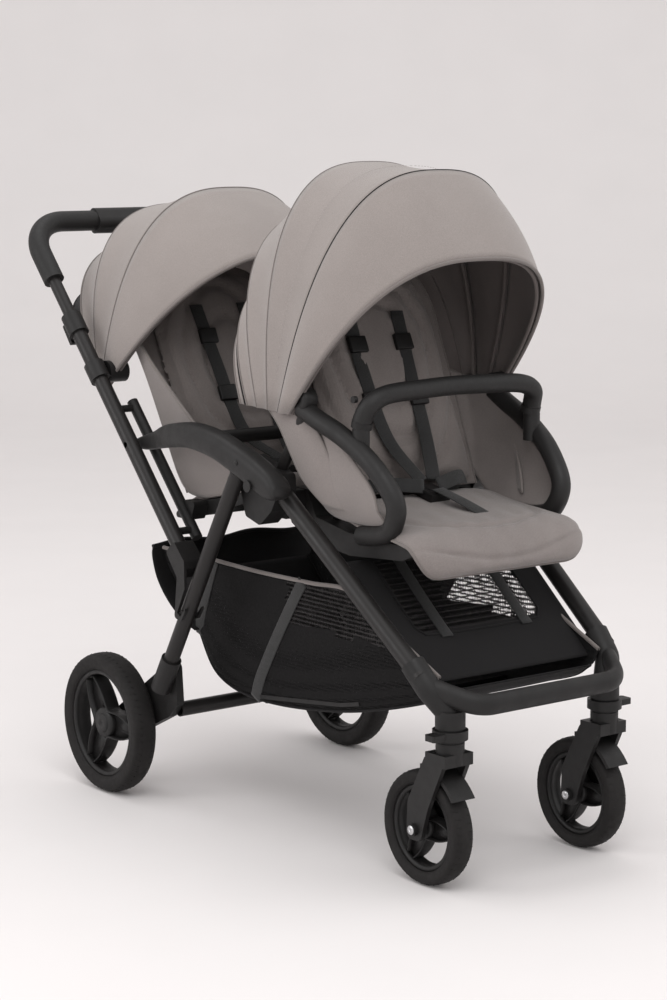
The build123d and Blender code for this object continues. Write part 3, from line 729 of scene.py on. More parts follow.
def rear_canopy():
    p = REAR_PIVOT
    rear_edge = Arch(p, (470, 700), 30, 262, 196)
    mesh_edge = Arch(p, (452, 690), 48, 270, 200)
    mid = Arch(p, (440, 680), 70, 285, 203)
    bow_1 = Arch(p, (430, 668), 100, 302, 205)
    rim = Arch(p, (422, 662), 141, 318, 205)
    first = panel("rear_canopy_net", rear_edge, mesh_edge, body="handle_frame", cloth=BLACK_CLOTH)
    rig.replaces(first, "rear_canopy_fabric")
    panel("rear_canopy_back", mesh_edge, mid, body="handle_frame")
    panel("rear_canopy_crown", mid, bow_1, ("handle_frame", "rear_canopy_bow_1"))
    panel("rear_canopy_visor", bow_1, rim, ("rear_canopy_bow_1", "rear_canopy_rim"), sag=-3)
    seam("rear_canopy_seam_rear", mesh_edge, "handle_frame", radius=1.8)
    seam("rear_canopy_seam_mid", mid, "handle_frame")
    seam("rear_canopy_seam_1", bow_1, "rear_canopy_bow_1", radius=1.3)
    seam("rear_canopy_piping", rim, "rear_canopy_rim", radius=2.8, lift=0.5)
    seam("rear_canopy_rear_binding", rear_edge, "handle_frame", radius=3.0, material=BLACK_CLOTH, lift=0.2)
    rib("rear_canopy_rib_1", bow_1, "rear_canopy_bow_1", "rear_canopy_bow_1")
    rib("rear_canopy_rib_2", rim.between(bow_1, 0.03), "rear_canopy_rim", "rear_canopy_bow_2")
    stitches("rear_canopy_rim_stitches", rim.between(bow_1, 0.05), "rear_canopy_rim")


# ---- padded seats ----
CROWN_POWER, END_POWER = 4.5, 9     # how late a pad falls off towards its sides and ends
EDGE_SHARE = 0.18                   # a pad's thickness at its rim
CHANNEL_WIDTH = 0.045               # a sewn channel, as a share of the pad's half-width
CLOTH_FRAMES = 14


def pad_mesh(name, line, half_at, thick, channels, material, across=64, along=84, towards=-1):
    """A quilted pad along a side-view line; its face is crowned and its sewn channels pull it in."""
    points = profile_line(line, 16)
    total = len(points) - 1

    def frame_at(v):
        k = min(int(v * total), total - 1)
        f = v * total - k
        here = points[k].lerp(points[k + 1], f)
        ahead = (points[min(k + 2, total)] - points[max(k - 1, 0)]).normalized()
        return here, Vector((1, 0, 0)).cross(ahead)

    def side(u, v, face):
        here, normal = frame_at(v)
        half = half_at(v)
        w = 2 * u - 1
        edge = (1 - abs(w) ** CROWN_POWER) * (1 - abs(2 * v - 1) ** END_POWER)
        height = thick * MM * (EDGE_SHARE + (1 - EDGE_SHARE) * max(edge, 0.0) ** 0.5)
        if face:
            reach, depth = channels(w, v)
            height *= 1 - depth * math.exp(-(reach / CHANNEL_WIDTH) ** 2)
            height += 0.0012 * math.sin(23 * w + 5 * v) * math.sin(17 * v + 3 * w) * edge
        return here + Vector((w * half * MM, 0, 0)) + normal * (towards * height if face else 0.0)

    made = bmesh.new()
    front = [[made.verts.new(side(i / across, k / along, True)) for i in range(across + 1)]
             for k in range(along + 1)]
    back = [[made.verts.new(side(i / across, k / along, False)) for i in range(across + 1)]
            for k in range(along + 1)]
    for rows, flip in ((front, False), (back, True)):
        for k in range(along):
            for i in range(across):
                quad = (rows[k][i], rows[k][i + 1], rows[k + 1][i + 1], rows[k + 1][i])
                made.faces.new(quad[::-1] if flip else quad)
    for k in range(along):
        made.faces.new((front[k][0], front[k + 1][0], back[k + 1][0], back[k][0]))
        made.faces.new((back[k][across], back[k + 1][across], front[k + 1][across], front[k][across]))
    for i in range(across):
        made.faces.new((back[0][i], back[0][i + 1], front[0][i + 1], front[0][i]))
        made.faces.new((front[along][i], front[along][i + 1], back[along][i + 1], back[along][i]))
    bmesh.ops.recalc_face_normals(made, faces=made.faces[:])
    piece = built(name, made, material)
    outline = ([(0.0, k / 60) for k in range(61)] + [(k / 40, 1.0) for k in range(1, 41)]
               + [(1.0, 1 - k / 60) for k in range(1, 61)])
    return piece, [side(u, v, True).lerp(side(u, v, False), 0.5) for u, v in outline]


def puff(piece, pressure=3.0, cap=5.0, voxel=0.006):
    """Inflates a closed pad with a short cloth simulation, then smooths it."""
    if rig.quick():
        return piece
    scene = bpy.context.scene
    remesh = piece.modifiers.new("remesh", "REMESH")
    remesh.mode = "VOXEL"
    remesh.voxel_size = voxel
    apply(piece)
    rest = [v.co.copy() for v in piece.data.vertices]
    cloth = piece.modifiers.new("cloth", "CLOTH")
    cloth.settings.use_pressure = True
    cloth.settings.uniform_pressure_force = pressure
    cloth.settings.effector_weights.gravity = 0.0
    cloth.settings.quality = 4
    for step in range(1, CLOTH_FRAMES + 1):
        scene.frame_set(step)
    moved = bpy.data.meshes.new_from_object(piece.evaluated_get(bpy.context.evaluated_depsgraph_get()))
    for vert, start, now in zip(piece.data.vertices, rest, moved.vertices):
        shift = now.co - start
        if shift.length > cap * MM:
            shift = shift.normalized() * cap * MM
        vert.co = start + shift
    piece.modifiers.clear()
    scene.frame_set(1)
    smooth = piece.modifiers.new("smooth", "SMOOTH")
    smooth.iterations = 2
    return apply(piece)


def arc_channels(centre, radii, deep=0.3):
    """Concentric arc seams about a point of the pad, in shares of its width and length."""
    def reach(w, v):
        d = math.hypot(w, (v - centre) * 1.9)
        return min(abs(d - r) for r in radii), deep
    return reach


def rounded_end(v, half, start=0.8, end_share=0.5):
    """A half-width that draws in to a round end after start."""
    if v <= start:
        return half
    t = (v - start) / (1 - start)
    return half * (end_share + (1 - end_share) * math.sqrt(max(0.0, 1 - t * t)))


def seats():
    cushion_line = [(-128, 520), (-200, 504), (-290, 494), (-322, 488), (-337, 470), (-342, 446)]
    cushion, rim = pad_mesh("front_seat_cushion", cushion_line,
                            lambda v: rounded_end(v, 150 + 14 * min(1, v / 0.5), 0.62, 0.76),
                            25, arc_channels(0.12, (0.86, 1.42), 0.16), SEAT_CLOTH)
    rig.replaces(cushion, "front_seat_pad")
    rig.slot(cushion, "grey_fabric")
    knee = {"start": at(0, -316, 492), "end": at(0, -338, 462)}      # where the cushion bends with the leg rest
    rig.blend(cushion, "front_frame", "leg_rest", **knee)
    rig.padded(cushion, 0.6)
    hem = pipe("front_cushion_piping", rim, 2.6 * MM, BINDING)
    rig.slot(hem, "grey_fabric")
    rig.blend(hem, "front_frame", "leg_rest", **knee)

    insert_seams = arc_channels(0.55, (0.42, 0.7, 0.98), 0.42)
    back, _ = pad_mesh("front_back_insert", [(-112, 540), (-60, 664), (-10, 782), (22, 872)],
                       lambda v: rounded_end(v, 136, 0.62, 0.35), 24, insert_seams, INSERT_CLOTH, towards=1)
    puff(back)
    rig.replaces(back, "front_back_pad")
    place(back, "grey_fabric", "front_backrest")
    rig.padded(back, 0.6)
    cushion, _ = pad_mesh("rear_seat_cushion", [(238, 490), (160, 508), (96, 521), (64, 528), (54, 512)],
                          lambda v: rounded_end(v, 158, 0.8, 0.8), 22, arc_channels(0.1, (0.62, 1.1)),
                          SEAT_CLOTH)
    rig.replaces(cushion, "rear_seat_pad")
    place(cushion, "inner_fabric", "handle_frame")
    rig.padded(cushion, 0.5)
    back, _ = pad_mesh("rear_back_insert", [(243, 513), (300, 607), (372, 726), (444, 845)],
                       lambda v: rounded_end(v, 138, 0.62, 0.35), 22, insert_seams, INSERT_CLOTH, towards=1)
    puff(back)
    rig.replaces(back, "rear_back_pad")
    place(back, "inner_fabric", "rear_backrest")
    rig.padded(back, 0.6)


def back_shell(name, line, half, node, body, slot_name):
    """The cloth-covered board behind a seat's insert, closed and softly rounded."""
    def width(v):
        return rounded_end(v, half, 0.7, 0.5)
    piece, rim = pad_mesh(name, line, width, 15, lambda w, v: (1.0, 0.0), SEAT_CLOTH)
    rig.replaces(piece, node)
    place(piece, slot_name, body)
    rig.padded(piece, 0.3)
    hem = pipe(name + "_piping", rim, 2.4 * MM, BINDING)
    place(hem, slot_name, body)


def wing(name, outline, x_low, x_high, body, slot_name, bulge=10.0):
    """A seat's side cloth between its lower and upper edges, hung like a shallow sling."""
    lower = profile_line(outline[0], 12)
    upper = profile_line(outline[1], 12)

    for side, sign in SIDES:
        def point(u, v):
            p = pick(lower, u).lerp(pick(upper, u), v)
            x = x_low + (x_high - x_low) * v ** 0.7 + bulge * math.sin(math.pi * v) * math.sin(math.pi * u)
            p.x = sign * x * MM
            return p
        piece = cloth_sheet(f"{name}_{side}", point, 40, 24, (SEAT_CLOTH, SEAT_CLOTH), 0.004)
        place(piece, slot_name, body)
        declare(piece, "stretched")
        top, front = [point(k / 30, 1) for k in range(31)], [point(0, k / 30) for k in range(31)]
        for end, line in (("top", top), ("front", front)):
            edge = pipe(f"{name}_{end}_binding_{side}", line, 2.4 * MM, BINDING)
            place(edge, slot_name, body)


def seat_shells():
    back_shell("front_back_shell", [(-106, 534), (-58, 660), (-8, 778), (34, 884)], 152, "front_back_board",
               "front_backrest", "grey_fabric")
    back_shell("rear_back_shell", [(250, 505), (308, 601), (380, 720), (460, 852)], 156, "rear_back_board",
               "rear_backrest", "inner_fabric")
    wing("front_wing", ([(-272, 518), (-220, 512), (-142, 516), (-104, 540), (-60, 595), (-12, 676)],
                        [(-268, 540), (-252, 572), (-196, 618), (-140, 662), (-90, 684), (-12, 704)]),
         158, 178, "front_frame", "grey_fabric")
    wing("rear_wing", ([(66, 530), (130, 516), (200, 504), (250, 520), (300, 600), (350, 700)],
                       [(96, 560), (160, 600), (240, 655), (320, 715), (376, 765), (420, 800)]),
         166, 180, "handle_frame", "inner_fabric", bulge=-6.0)


# ---- harness ----
def harness(prefix, base, back, buckle, tail):
    """Five straps that meet at the buckle, with their adjusters."""
    y, z = buckle
    for side, sign in SIDES:
        over = [(sign * 48, *back[0]), (sign * 46, *back[1]), (sign * 38, *back[2]),
                (sign * 12, y + 10, z + 12)]
        piece = strap(f"{prefix}_shoulder_strap_{side}", over, 25, WEBBING)
        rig.slot(piece, "black_mesh")
        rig.blend(piece, base, f"{prefix}_backrest", start=at(0, y, z), end=at(0, *back[2]))
        mid = [(back[1][0] * 0.55 + back[2][0] * 0.45), (back[1][1] * 0.55 + back[2][1] * 0.45)]
        high = [back[0][0] * 0.45 + back[1][0] * 0.55, back[0][1] * 0.45 + back[1][1] * 0.55]
        for k, (y_at, z_at) in enumerate((mid, high)):
            slider = block(f"{prefix}_strap_adjuster_{side}_{k}", (sign * 45, y_at - 2, z_at), (33, 8, 26),
                           PLASTIC, tilt=-26, bevel=2)
            place(slider, "black_plastic", f"{prefix}_backrest")
        waist = [(sign * 118, y + 60, z + 2), (sign * 70, y + 22, z + 10), (sign * 14, y + 2, z + 5)]
        piece = strap(f"{prefix}_waist_strap_{side}", waist, 22, WEBBING, side=Vector((0, 0.5, 1)))
        place(piece, "black_mesh", base)
    crotch = [(0, y - 14, z + 2), (3, y - 36, z - 4), (6, y - 62, z - 11), tail]
    piece = strap(f"{prefix}_crotch_strap", crotch, 25, WEBBING)
    place(piece, "black_mesh", base)


def harnesses():
    harness("front", "front_frame", [(-32, 806), (-66, 722), (-116, 622)], (-178, 546), (20, -282, 517))
    harness("rear", "handle_frame", [(382, 796), (326, 706), (258, 596)], (176, 541), (10, 92, 549))


# ---- basket ----
WINDOW_HALF, SILL = 122.0, 0.37      # the front window's half-width and its lower edge
FRONT_LOW, FRONT_RISE = 300, 152     # the front panel's lower edge and its height
NET_SPLIT_Y, NET_SPLIT_Z = -20, 0.335    # the finer net is ahead of this and above it
HANG = 404                           # the height that the basket hangs from


def basket():
    """One hanging bag: net sides, a cloth base, a front with a window, a rear pocket and a bound hem."""
    top = [(-384, 312), (-300, 350), (-186, 405), (-76, 404), (60, 402), (200, 404), (322, 404)]
    bottom = [(-384, 290), (-330, 262), (-143, 214), (63, 192), (186, 212), (248, 285), (318, 360)]
    upper = profile_line(top, 10)
    lower = profile_line(bottom, 10)
    for piece in [*basket_sides(upper, lower), basket_base(lower), *basket_front(), *rear_pocket()]:
        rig.slot(piece, "black_mesh")
        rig.squash(piece, "frame_fold", axis=(0, 0, 1), anchor=at(0, 0, HANG), keep=0.3)
        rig.ride(piece, "front_frame")


def basket_sides(upper, lower):
    """Each net side with its hem, its corner cord and two tapes."""
    pieces = []
    for side, sign in SIDES:
        def wall(u, v):
            p = pick(lower, u).lerp(pick(upper, u), v)
            belly = math.sin(math.pi * u) * math.sin(math.pi * (0.15 + 0.85 * v) ** 0.8) * 9
            p.x = sign * (146 + 17 * v ** 0.5 + belly * 0.6 - 6) * MM
            p.z -= 3 * MM * math.sin(6 * math.pi * u) * v * (1 - v)
            return p
        net_side = cloth_sheet(f"basket_net_{side}", wall, 60, 18, (BLACK_NET,), 0.0012)
        net_side.data.materials.append(WINDOW_NET)
        for face in net_side.data.polygons:
            ahead = face.center.y < at(0, NET_SPLIT_Y, 0).y
            face.material_index = 1 if ahead and face.center.z > NET_SPLIT_Z else 0
        pieces.append(net_side)
        declare(net_side, "hung")
        low, high = [[wall(k / 40, v) for k in range(41)] for v in (0.0, 1.0)]
        pieces.append(pipe(f"basket_hem_{side}", high, 3.2 * MM, BINDING))
        pieces.append(pipe(f"basket_corner_{side}", low, 2.4 * MM, BLACK_CLOTH))
        for k, u in enumerate((0.52, 0.80)):
            line = [wall(u, v / 6) for v in range(7)]
            for p in line:
                p.x += sign * 1.6 * MM
            pieces.append(strap_points(f"basket_tape_{side}_{k}", line, 22, WEBBING, Vector((0, 1, 0))))
    return pieces


def basket_base(lower):
    def floor(u, v):
        p = pick(lower, v)
        p.x = (2 * u - 1) * 140 * MM
        p.z -= 4 * MM * math.sin(math.pi * u) * math.sin(math.pi * v)
        return p
    base = cloth_sheet("basket_base", floor, 24, 60, (BLACK_CLOTH,), 0.0022)
    declare(base, "hung")
    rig.replaces(base, "basket")
    return base


def basket_front():
    """The sloping front panel, its window's bound edge and two tapes."""
    def front_panel(u, v):
        w = 2 * u - 1
        z = FRONT_LOW + FRONT_RISE * v - 7 * math.sin(math.pi * v) * (1 - w * w)
        return at(w * (166 + 6 * v), -366 + 186 * v, z)
    front = cloth_sheet("basket_front_panel", front_panel, 60, 40, (BLACK_CLOTH, WINDOW_NET), 0.0012)
    for face in front.data.polygons:
        face.material_index = 1 if in_window(face.center) else 0
    declare(front, "stretched")
    half = [(WINDOW_HALF, 0.97), (WINDOW_HALF, 0.5), (WINDOW_HALF, 0.44), (WINDOW_HALF - 10, 0.385),
            (WINDOW_HALF - 22, SILL)]
    edge = [(-x, v) for x, v in half] + [(0, SILL)] + half[::-1]
    line = [front_panel((x / (166 + 6 * v) + 1) / 2, v) + Vector((0, -1, 1)) * MM for x, v in edge]
    pieces = [front, pipe("basket_window_binding", smooth_line(line, 4), 1.6 * MM, BLACK_CLOTH, poly=True)]
    for k, x in enumerate((-74, 84)):
        drop = [front_panel((x / 169 + 1) / 2, v) + Vector((0, -2, 2)) * MM for v in (0.34, 0.5, 0.7, 0.9, 1.0)]
        pieces.append(strap_points(f"basket_front_tape_{k}", drop, 20, WEBBING, Vector((1, 0, 0))))
    return pieces


def in_window(p):
    """True inside the see-through part of the basket's front."""
    x, v = abs(p.x) / MM, (p.z / MM - FRONT_LOW) / FRONT_RISE
    if v < SILL or v > 0.985 or x > WINDOW_HALF:
        return False
    corner = (x - (WINDOW_HALF - 18)) / 18, (0.46 - v) / 0.09
    return not (corner[0] > 0 and corner[1] > 0 and math.hypot(*corner) > 1)


def rear_pocket():
    """A slack pocket of cloth behind the basket."""
    side_line = [(332, 408), (338, 388), (328, 352), (300, 318), (262, 292), (232, 280)]
    line = profile_line(side_line, 8)

    def wall(u, v):
        w = 2 * u - 1
        p = pick(line, v)
        out = 10 * math.cos(w * 1.5) + 3 * math.sin(9 * w + 2 * v)
        p += Vector((w * (172 - 14 * v), out * 0.8, 3 * math.sin(7 * w) * (1 - v))) * MM
        return p
    pocket = cloth_sheet("basket_rear_pocket", wall, 44, 24, (BLACK_CLOTH,), 0.0024)
    declare(pocket, "hung")
    hem = pipe("basket_rear_pocket_hem", [wall(k / 40, 0.0) for k in range(41)], 3.4 * MM, BLACK_CLOTH)
    return [pocket, hem]


def strap_points(name, line, width, material, side):
    points = [(p.x / MM, (p.y - MID_Y) / MM, p.z / MM) for p in line]
    return strap(name, points, width, material, side)


# ---- wheels ----
SLIT = ((0.42, 0.0), (0.42, 0.011), (0.86, 0.036), (0.86, 0.025))    # share of the half-width, turn
WEBS = 3


def wheel(node, body, width, outer, seat, hub, sign, rim_node):
    """A tyre with slit treads on a rim with three openings round a capped hub."""
    centre = middle(node)
    half, crown = width / 2 * MM, width * 0.24 * MM
    r, s = outer * MM, seat * MM
    tyre_cover(node, body, centre, half, crown, r, s)
    tread(node, body, centre, half, crown, r, int(outer * 0.55))
    lip = (width - 10) / 2 * MM
    for part in rim_ring(rim_node, centre, lip, s, hub, sign) + rim_webs(rim_node, centre, lip, s, hub):
        place(part, "black_plastic", body)


def tyre_cover(node, body, centre, half, crown, r, s):
    steps = 24
    profile = []
    for k in range(steps + 1):
        t = math.pi * k / steps
        profile.append((half * math.cos(t), r - crown + crown * math.sin(t) ** 0.8))
    wall = s + (r - s) * 0.25
    profile = [(half * 0.82, s), (half * 0.97, wall)] + profile + [(-half * 0.97, wall), (-half * 0.82, s)]
    piece = lathe(node + "_cover", profile, centre, RUBBER, 144)
    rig.replaces(piece, node)
    place(piece, "tyre_rubber", body)


def tread(node, body, centre, half, crown, r, count):
    """Two rows of slits, half a step apart."""
    made = bmesh.new()
    for k in range(count):
        for side in (1, -1):
            a0 = 2 * math.pi * (k + (0.5 if side < 0 else 0)) / count
            quad = [(half * t * side, r - crown + crown * math.sqrt(max(0.0, 1 - t * t)) ** 0.8 + 0.0001,
                     a0 + turn * side) for t, turn in SLIT]
            top, low = [[made.verts.new(centre + turned(x, rr + lift, a)) for x, rr, a in quad]
                        for lift in (0.0006, -0.002)]
            made.faces.new(top)
            made.faces.new(low[::-1])
            for i in range(4):
                made.faces.new((top[i], low[i], low[(i + 1) % 4], top[(i + 1) % 4]))
    bmesh.ops.recalc_face_normals(made, faces=made.faces[:])
    place(built(node + "_tread", made, RUBBER), "tyre_rubber", body)


def rim_ring(rim_node, centre, lip, s, hub, sign):
    """The rim's channel, its hub and the hub's cap."""
    ring = [(lip, s), (lip, s - 0.006), (lip - 0.004, s - 0.0085), (lip * 0.3, s - 0.006),
            (-lip * 0.3, s - 0.006), (-lip + 0.004, s - 0.0085), (-lip, s - 0.006), (-lip, s)]
    rim = lathe(rim_node + "_ring", ring, centre, PLASTIC, 96)
    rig.replaces(rim, rim_node)
    out = lip * 0.82
    barrel = [(out, 0.0008), (out, hub * 0.55 * MM), (out - 0.002, hub * 0.86 * MM), (out - 0.006, hub * MM),
              (-out + 0.004, hub * MM), (-out, hub * 0.9 * MM), (-out, 0.0008)]
    cap = [(sign * (out + 0.0028), 0.0006), (sign * (out + 0.0024), hub * 0.5 * MM),
           (sign * out, hub * 0.62 * MM), (sign * (out - 0.002), hub * 0.62 * MM), (sign * (out - 0.002), 0.0006)]
    return [rim, lathe(rim_node + "_hub", barrel, centre, PLASTIC, 64),
            lathe(rim_node + "_cap", cap, centre, SOFT_PLASTIC, 64)]


def rim_webs(rim_node, centre, lip, s, hub):
    """A curved wall round each opening and a flat web beside it."""
    reach, steps = math.radians(53), 40
    inner, outside = (hub + 1.5) * MM, s - 0.0075
    parts = []
    for k in range(WEBS):
        middle_angle = 2 * math.pi * k / WEBS
        rings, web = [], []
        for i in range(steps + 1):
            t = 2 * i / steps - 1
            angle, radius = middle_angle + t * reach, inner + (outside - inner) * abs(t) ** 2.1
            away = Vector((0, math.cos(angle), math.sin(angle)))
            rings.append([centre + away * (radius + a) + Vector((b * lip * 0.86, 0, 0))
                          for a, b in ((0, -1), (-0.0032, -0.93), (-0.0032, 0.93), (0, 1), (0.0006, 0.8),
                                       (0.0006, -0.8))])
            web.append((angle, radius - 0.0008))
        parts.append(skin(f"{rim_node}_wall_{k}", rings, PLASTIC))
        after = middle_angle + 2 * math.pi / WEBS - reach
        between = after - middle_angle - reach
        web += [(middle_angle + reach + between * i / 6, outside + 0.001) for i in range(1, 7)]
        flat, inside = 0.003, hub * 0.6 * MM
        plate = [[centre + turned(x, r, angle)
                  for x, r in ((-flat, inside), (flat, inside), (flat, radius), (-flat, radius))]
                 for angle, radius in web]
        parts.append(skin(f"{rim_node}_web_{k}", plate, PLASTIC))
    return parts


def ring_of(centre, half_wide, half_tall, count=20, power=3.2):
    """Points of a rounded box section in the X and Z directions about centre."""
    points = []
    for k in range(count):
        a = 2 * math.pi * k / count
        c, s = math.cos(a), math.sin(a)
        points.append(centre + Vector((half_wide * math.copysign(abs(c) ** (2 / power), c), 0,
                                       half_tall * math.copysign(abs(s) ** (2 / power), s))) * MM)
    return points


def skin(name, rings, *materials):
    """A closed skin through rings of points."""
    made = bmesh.new()
    rows = [[made.verts.new(p) for p in ring] for ring in rings]
    count = len(rows[0])
    for a, b in zip(rows, rows[1:]):
        for i in range(count):
            made.faces.new((a[i], a[(i + 1) % count], b[(i + 1) % count], b[i]))
    made.faces.new(rows[0][::-1])
    made.faces.new(rows[-1])
    bmesh.ops.recalc_face_normals(made, faces=made.faces[:])
    return built(name, made, *materials)


ARMREST = ((312, 591, 575, 205, 216), (285, 600, 575, 205, 217), (255, 609, 579, 206, 221), (220, 621, 585, 208, 232),
           (178, 630, 591, 210, 244), (122, 636, 596, 211, 251), (60, 630, 589, 211, 253), (15, 619, 576, 211, 253),
           (-37, 603, 557, 211, 252.5), (-80, 584, 541, 211, 251), (-98, 572, 541, 211, 250), (-107, 561, 546, 214, 247))


def armrests():
    """The two smooth armrest shells; their rear ends pass inside the handle tubes."""
    for side, sign in SIDES:
        keys = [Vector((a, b, c)) for a, b, c, _, _ in ARMREST]
        wide = [Vector((a, b, 0)) for _, _, _, a, b in ARMREST]
        rings = []
        for key, x in zip(smooth_line(keys, 5), smooth_line(wide, 5)):
            y, top, low = key
            rings.append(ring_of(at(sign * (x[0] + x[1]) / 2, y, (top + low) / 2), (x[1] - x[0]) / 2,
                                 (top - low) / 2, 28))
        shell = skin(f"armrest_shell_{side}", rings, SOFT_PLASTIC)
        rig.slot(shell, "black_plastic")
        if sign > 0:
            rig.replaces(shell, "armrest_shells")
        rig.ride(shell, "armrests")
        for k, (y, z) in enumerate(((-20, 590), (-50, 560))):
            x = sign * 253.0
            screw = lathe(f"armrest_screw_{side}_{k}", [(0.0, 0.0004), (0.0, 0.0042), (sign * 0.0011, 0.0038),
                                                        (sign * 0.0014, 0.0020), (sign * 0.0007, 0.0004)],
                          at(x - sign * 0.4, y, z), PLASTIC, 24)
            place(screw, "black_plastic", "armrests")


ARM_PATH = ((190, -104, 676), (187, -140, 661), (181, -185, 643), (174, -236, 614), (168, -270, 583),
            (163, -290, 552), (160, -284, 524), (158, -262, 504), (157, -205, 494))
SNACK_PATH = ((166, -214, 655), (166, -219, 672), (158, -228, 692), (128, -231, 704), (60, -228, 707),
              (0, -225, 708))


def front_arms():
    """The bumper bar's two curved arms, their sockets and the canopy's pivots."""
    for side, sign in SIDES:
        path = smooth_line([at(sign * x, y, z) for x, y, z in ARM_PATH], 6)
        socket = [at(sign * 168, -216, z) for z in (612, 630, 645, 654)]
        upright = [at(sign * 190, -47, 572), at(sign * 190, -116, 678)]
        parts = [pipe(f"front_arm_{side}", path, 15 * MM, SOFT_PLASTIC, sides=6, poly=True),
                 pipe(f"front_arm_socket_{side}", socket, 13 * MM, SOFT_PLASTIC, sides=6, poly=True),
                 pipe(f"front_arm_upright_{side}", upright, 9 * MM, PAINT, sides=5, poly=True),
                 lathe(f"front_canopy_pivot_{side}", [(sign * x * MM, r * MM) for x, r in
                                                      ((-12, 0.5), (-12, 17), (8, 18), (12, 15), (13, 0.5))],
                       at(sign * 191, -110, 690), PLASTIC, 48)]
        if sign > 0:
            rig.replaces(parts[0], "front_arm_tubes")
        for part in parts:
            place(part, "black_plastic", "front_frame")


def snack_bar():
    half = [at(-x, y, z) for x, y, z in SNACK_PATH]
    other = [at(x, y, z) for x, y, z in reversed(SNACK_PATH[:-1])]
    bar = pipe("snack_bar_cover", smooth_line(half + other, 8), 14.5 * MM, GRIP, sides=7, poly=True)
    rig.replaces(bar, "snack_bar")
    place(bar, "grip_foam", "snack_bar")
    for side, sign in SIDES:
        ends = [at(sign * 166, -214, 656), at(sign * 166, -217, 666)]
        collar = pipe(f"snack_bar_collar_{side}", ends, 15.6 * MM, PLASTIC, sides=7, poly=True)
        place(collar, "black_plastic", "snack_bar")


def side_covers():
    """Seat cloth wrapped round the uprights outside the front seat's wings."""
    rear = profile_line(((-24, 682), (-60, 648), (-80, 612), (-103, 569), (-140, 534)), 8)
    front = profile_line(((-112, 668), (-140, 640), (-165, 600), (-188, 560), (-205, 528)), 8)
    for side, sign in SIDES:
        def point(u, v):
            p = pick(rear, u).lerp(pick(front, u), v)
            x = 203 - 26 * u * u - 16 * v + 5 * math.sin(math.pi * v)
            p.x = sign * x * MM
            return p
        piece = cloth_sheet(f"front_side_cover_{side}", point, 30, 16, (SEAT_CLOTH,), 0.003)
        place(piece, "grey_fabric", "front_frame")
        declare(piece, "stretched")
        edge = pipe(f"front_side_cover_piping_{side}", [point(k / 24, 0) for k in range(25)], 2.2 * MM, BINDING)
        place(edge, "grey_fabric", "front_frame")


def wheels():
    for side, sign in SIDES:
        wheel(f"rear_tyre_{side}", f"rear_wheel_{side}", 41, 116, 89, 26, sign, f"rear_rim_{side}")
        wheel(f"front_tyre_{side}", f"front_wheel_{side}", 35, 85.4, 64.4, 18, sign, f"front_rim_{side}")
        for out in (1, -1):
            c = middle(f"front_tyre_{side}")
            c.x += out * 0.0325
            head = [(0.0, 0.0004), (0.0, 0.0072), (out * 0.0012, 0.0066), (out * 0.0016, 0.003),
                    (out * 0.0008, 0.0004)]
            bolt = lathe(f"front_bolt_{side}_{'out' if out == sign else 'in'}", head, c, STEEL, 32)
            place(bolt, "bare_steel", f"caster_{side}")


# ---- room, light and camera ----
CAMERA_AZIMUTH, CAMERA_ELEVATION = -37.76, 8.75
CAMERA_PLACE = (-2327.6, -2938.7, 1084.5)
SENSOR, LENS = 36.0, 86.4
SKY, SKY_STRENGTH = (1.0, 0.985, 0.98, 1), 0.92
LAMPS = (("key", (-1.4, -2.4, 3.4), 2.2, 44), ("fill", (2.6, -2.0, 2.2), 3.0, 10),      # place, size, watts
         ("top", (0.0, 0.6, 3.6), 2.0, 22), ("side", (-3.2, 0.9, 1.8), 1.6, 26))


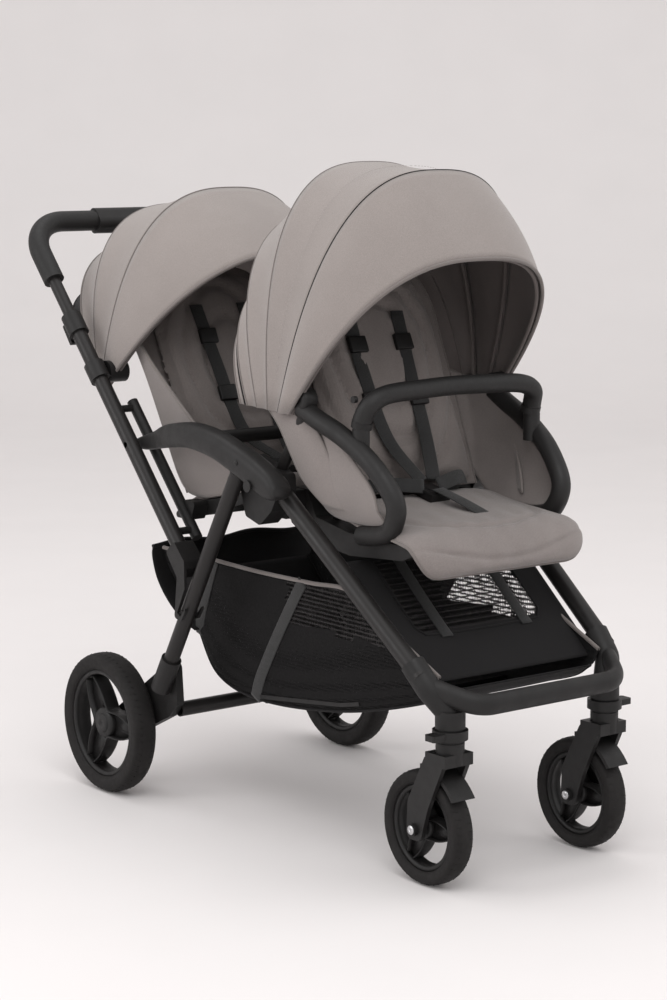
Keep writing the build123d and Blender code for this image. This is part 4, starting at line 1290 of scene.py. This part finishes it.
def studio():
    floor = bpy.data.meshes.new("floor")
    made = bmesh.new()
    deep = 40
    rows = []
    for k in range(deep + 1):
        t = k / deep
        if t < 0.5:
            y, z = -6 + 22 * t, 0.0
        else:
            a = (t - 0.5) / 0.5 * math.pi / 2
            y, z = 5 + 3 * math.sin(a), 3 * (1 - math.cos(a))
        rows.append([made.verts.new((x, y, z)) for x in (-14, 14)])
    rows.append([made.verts.new((x, 8, 12)) for x in (-14, 14)])
    for a, b in zip(rows, rows[1:]):
        made.faces.new((a[0], a[1], b[1], b[0]))
    made.to_mesh(floor)
    made.free()
    n = Nodes("studio_floor")
    shade = n.ramp(n.noise(3.0, 2.0), [(0.3, (0.765, 0.738, 0.735)), (0.7, (0.78, 0.752, 0.749))])
    n.set(Base_Color=shade, Roughness=0.75)
    piece = shown("studio_floor", floor, n.material)
    piece.rotation_euler[2] = math.radians(CAMERA_AZIMUTH)
    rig.stage(piece)
    world = bpy.data.worlds.new("studio")
    world.use_nodes = True
    world.node_tree.nodes["Background"].inputs["Color"].default_value = SKY
    world.node_tree.nodes["Background"].inputs["Strength"].default_value = SKY_STRENGTH
    bpy.context.scene.world = world
    for name, where, size, power in LAMPS:
        light = bpy.data.lights.new(name, "AREA")
        light.energy = power
        light.size = size
        lamp = bpy.data.objects.new(name, light)
        lamp.location = where
        lamp.rotation_euler = (Vector((0, 0, 0.5)) - Vector(where)).to_track_quat("-Z", "Y").to_euler()
        bpy.context.scene.collection.objects.link(lamp)
    bpy.context.scene.view_settings.view_transform = "Standard"


def camera():
    data = bpy.data.cameras.new("camera")
    data.sensor_fit = "VERTICAL"
    data.sensor_height = SENSOR
    data.lens = LENS
    eye = bpy.data.objects.new("camera", data)
    az, el = math.radians(CAMERA_AZIMUTH), math.radians(CAMERA_ELEVATION)
    back = Vector((math.sin(az) * math.cos(el), -math.cos(az) * math.cos(el), math.sin(el)))
    eye.location = at(*CAMERA_PLACE)
    eye.rotation_euler = back.to_track_quat("Z", "Y").to_euler()
    bpy.context.scene.collection.objects.link(eye)
    bpy.context.scene.camera = eye


camera()
studio()
front_canopy()
rear_canopy()
seats()
seat_shells()
harnesses()
basket()
side_covers()
front_arms()
snack_bar()
armrests()
wheels()

with open("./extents.json", "w") as out:
    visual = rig.bounds()
    json.dump({"cad": [list(c) for c in CAD_BOX], "visual": [list(c) for c in visual]}, out)
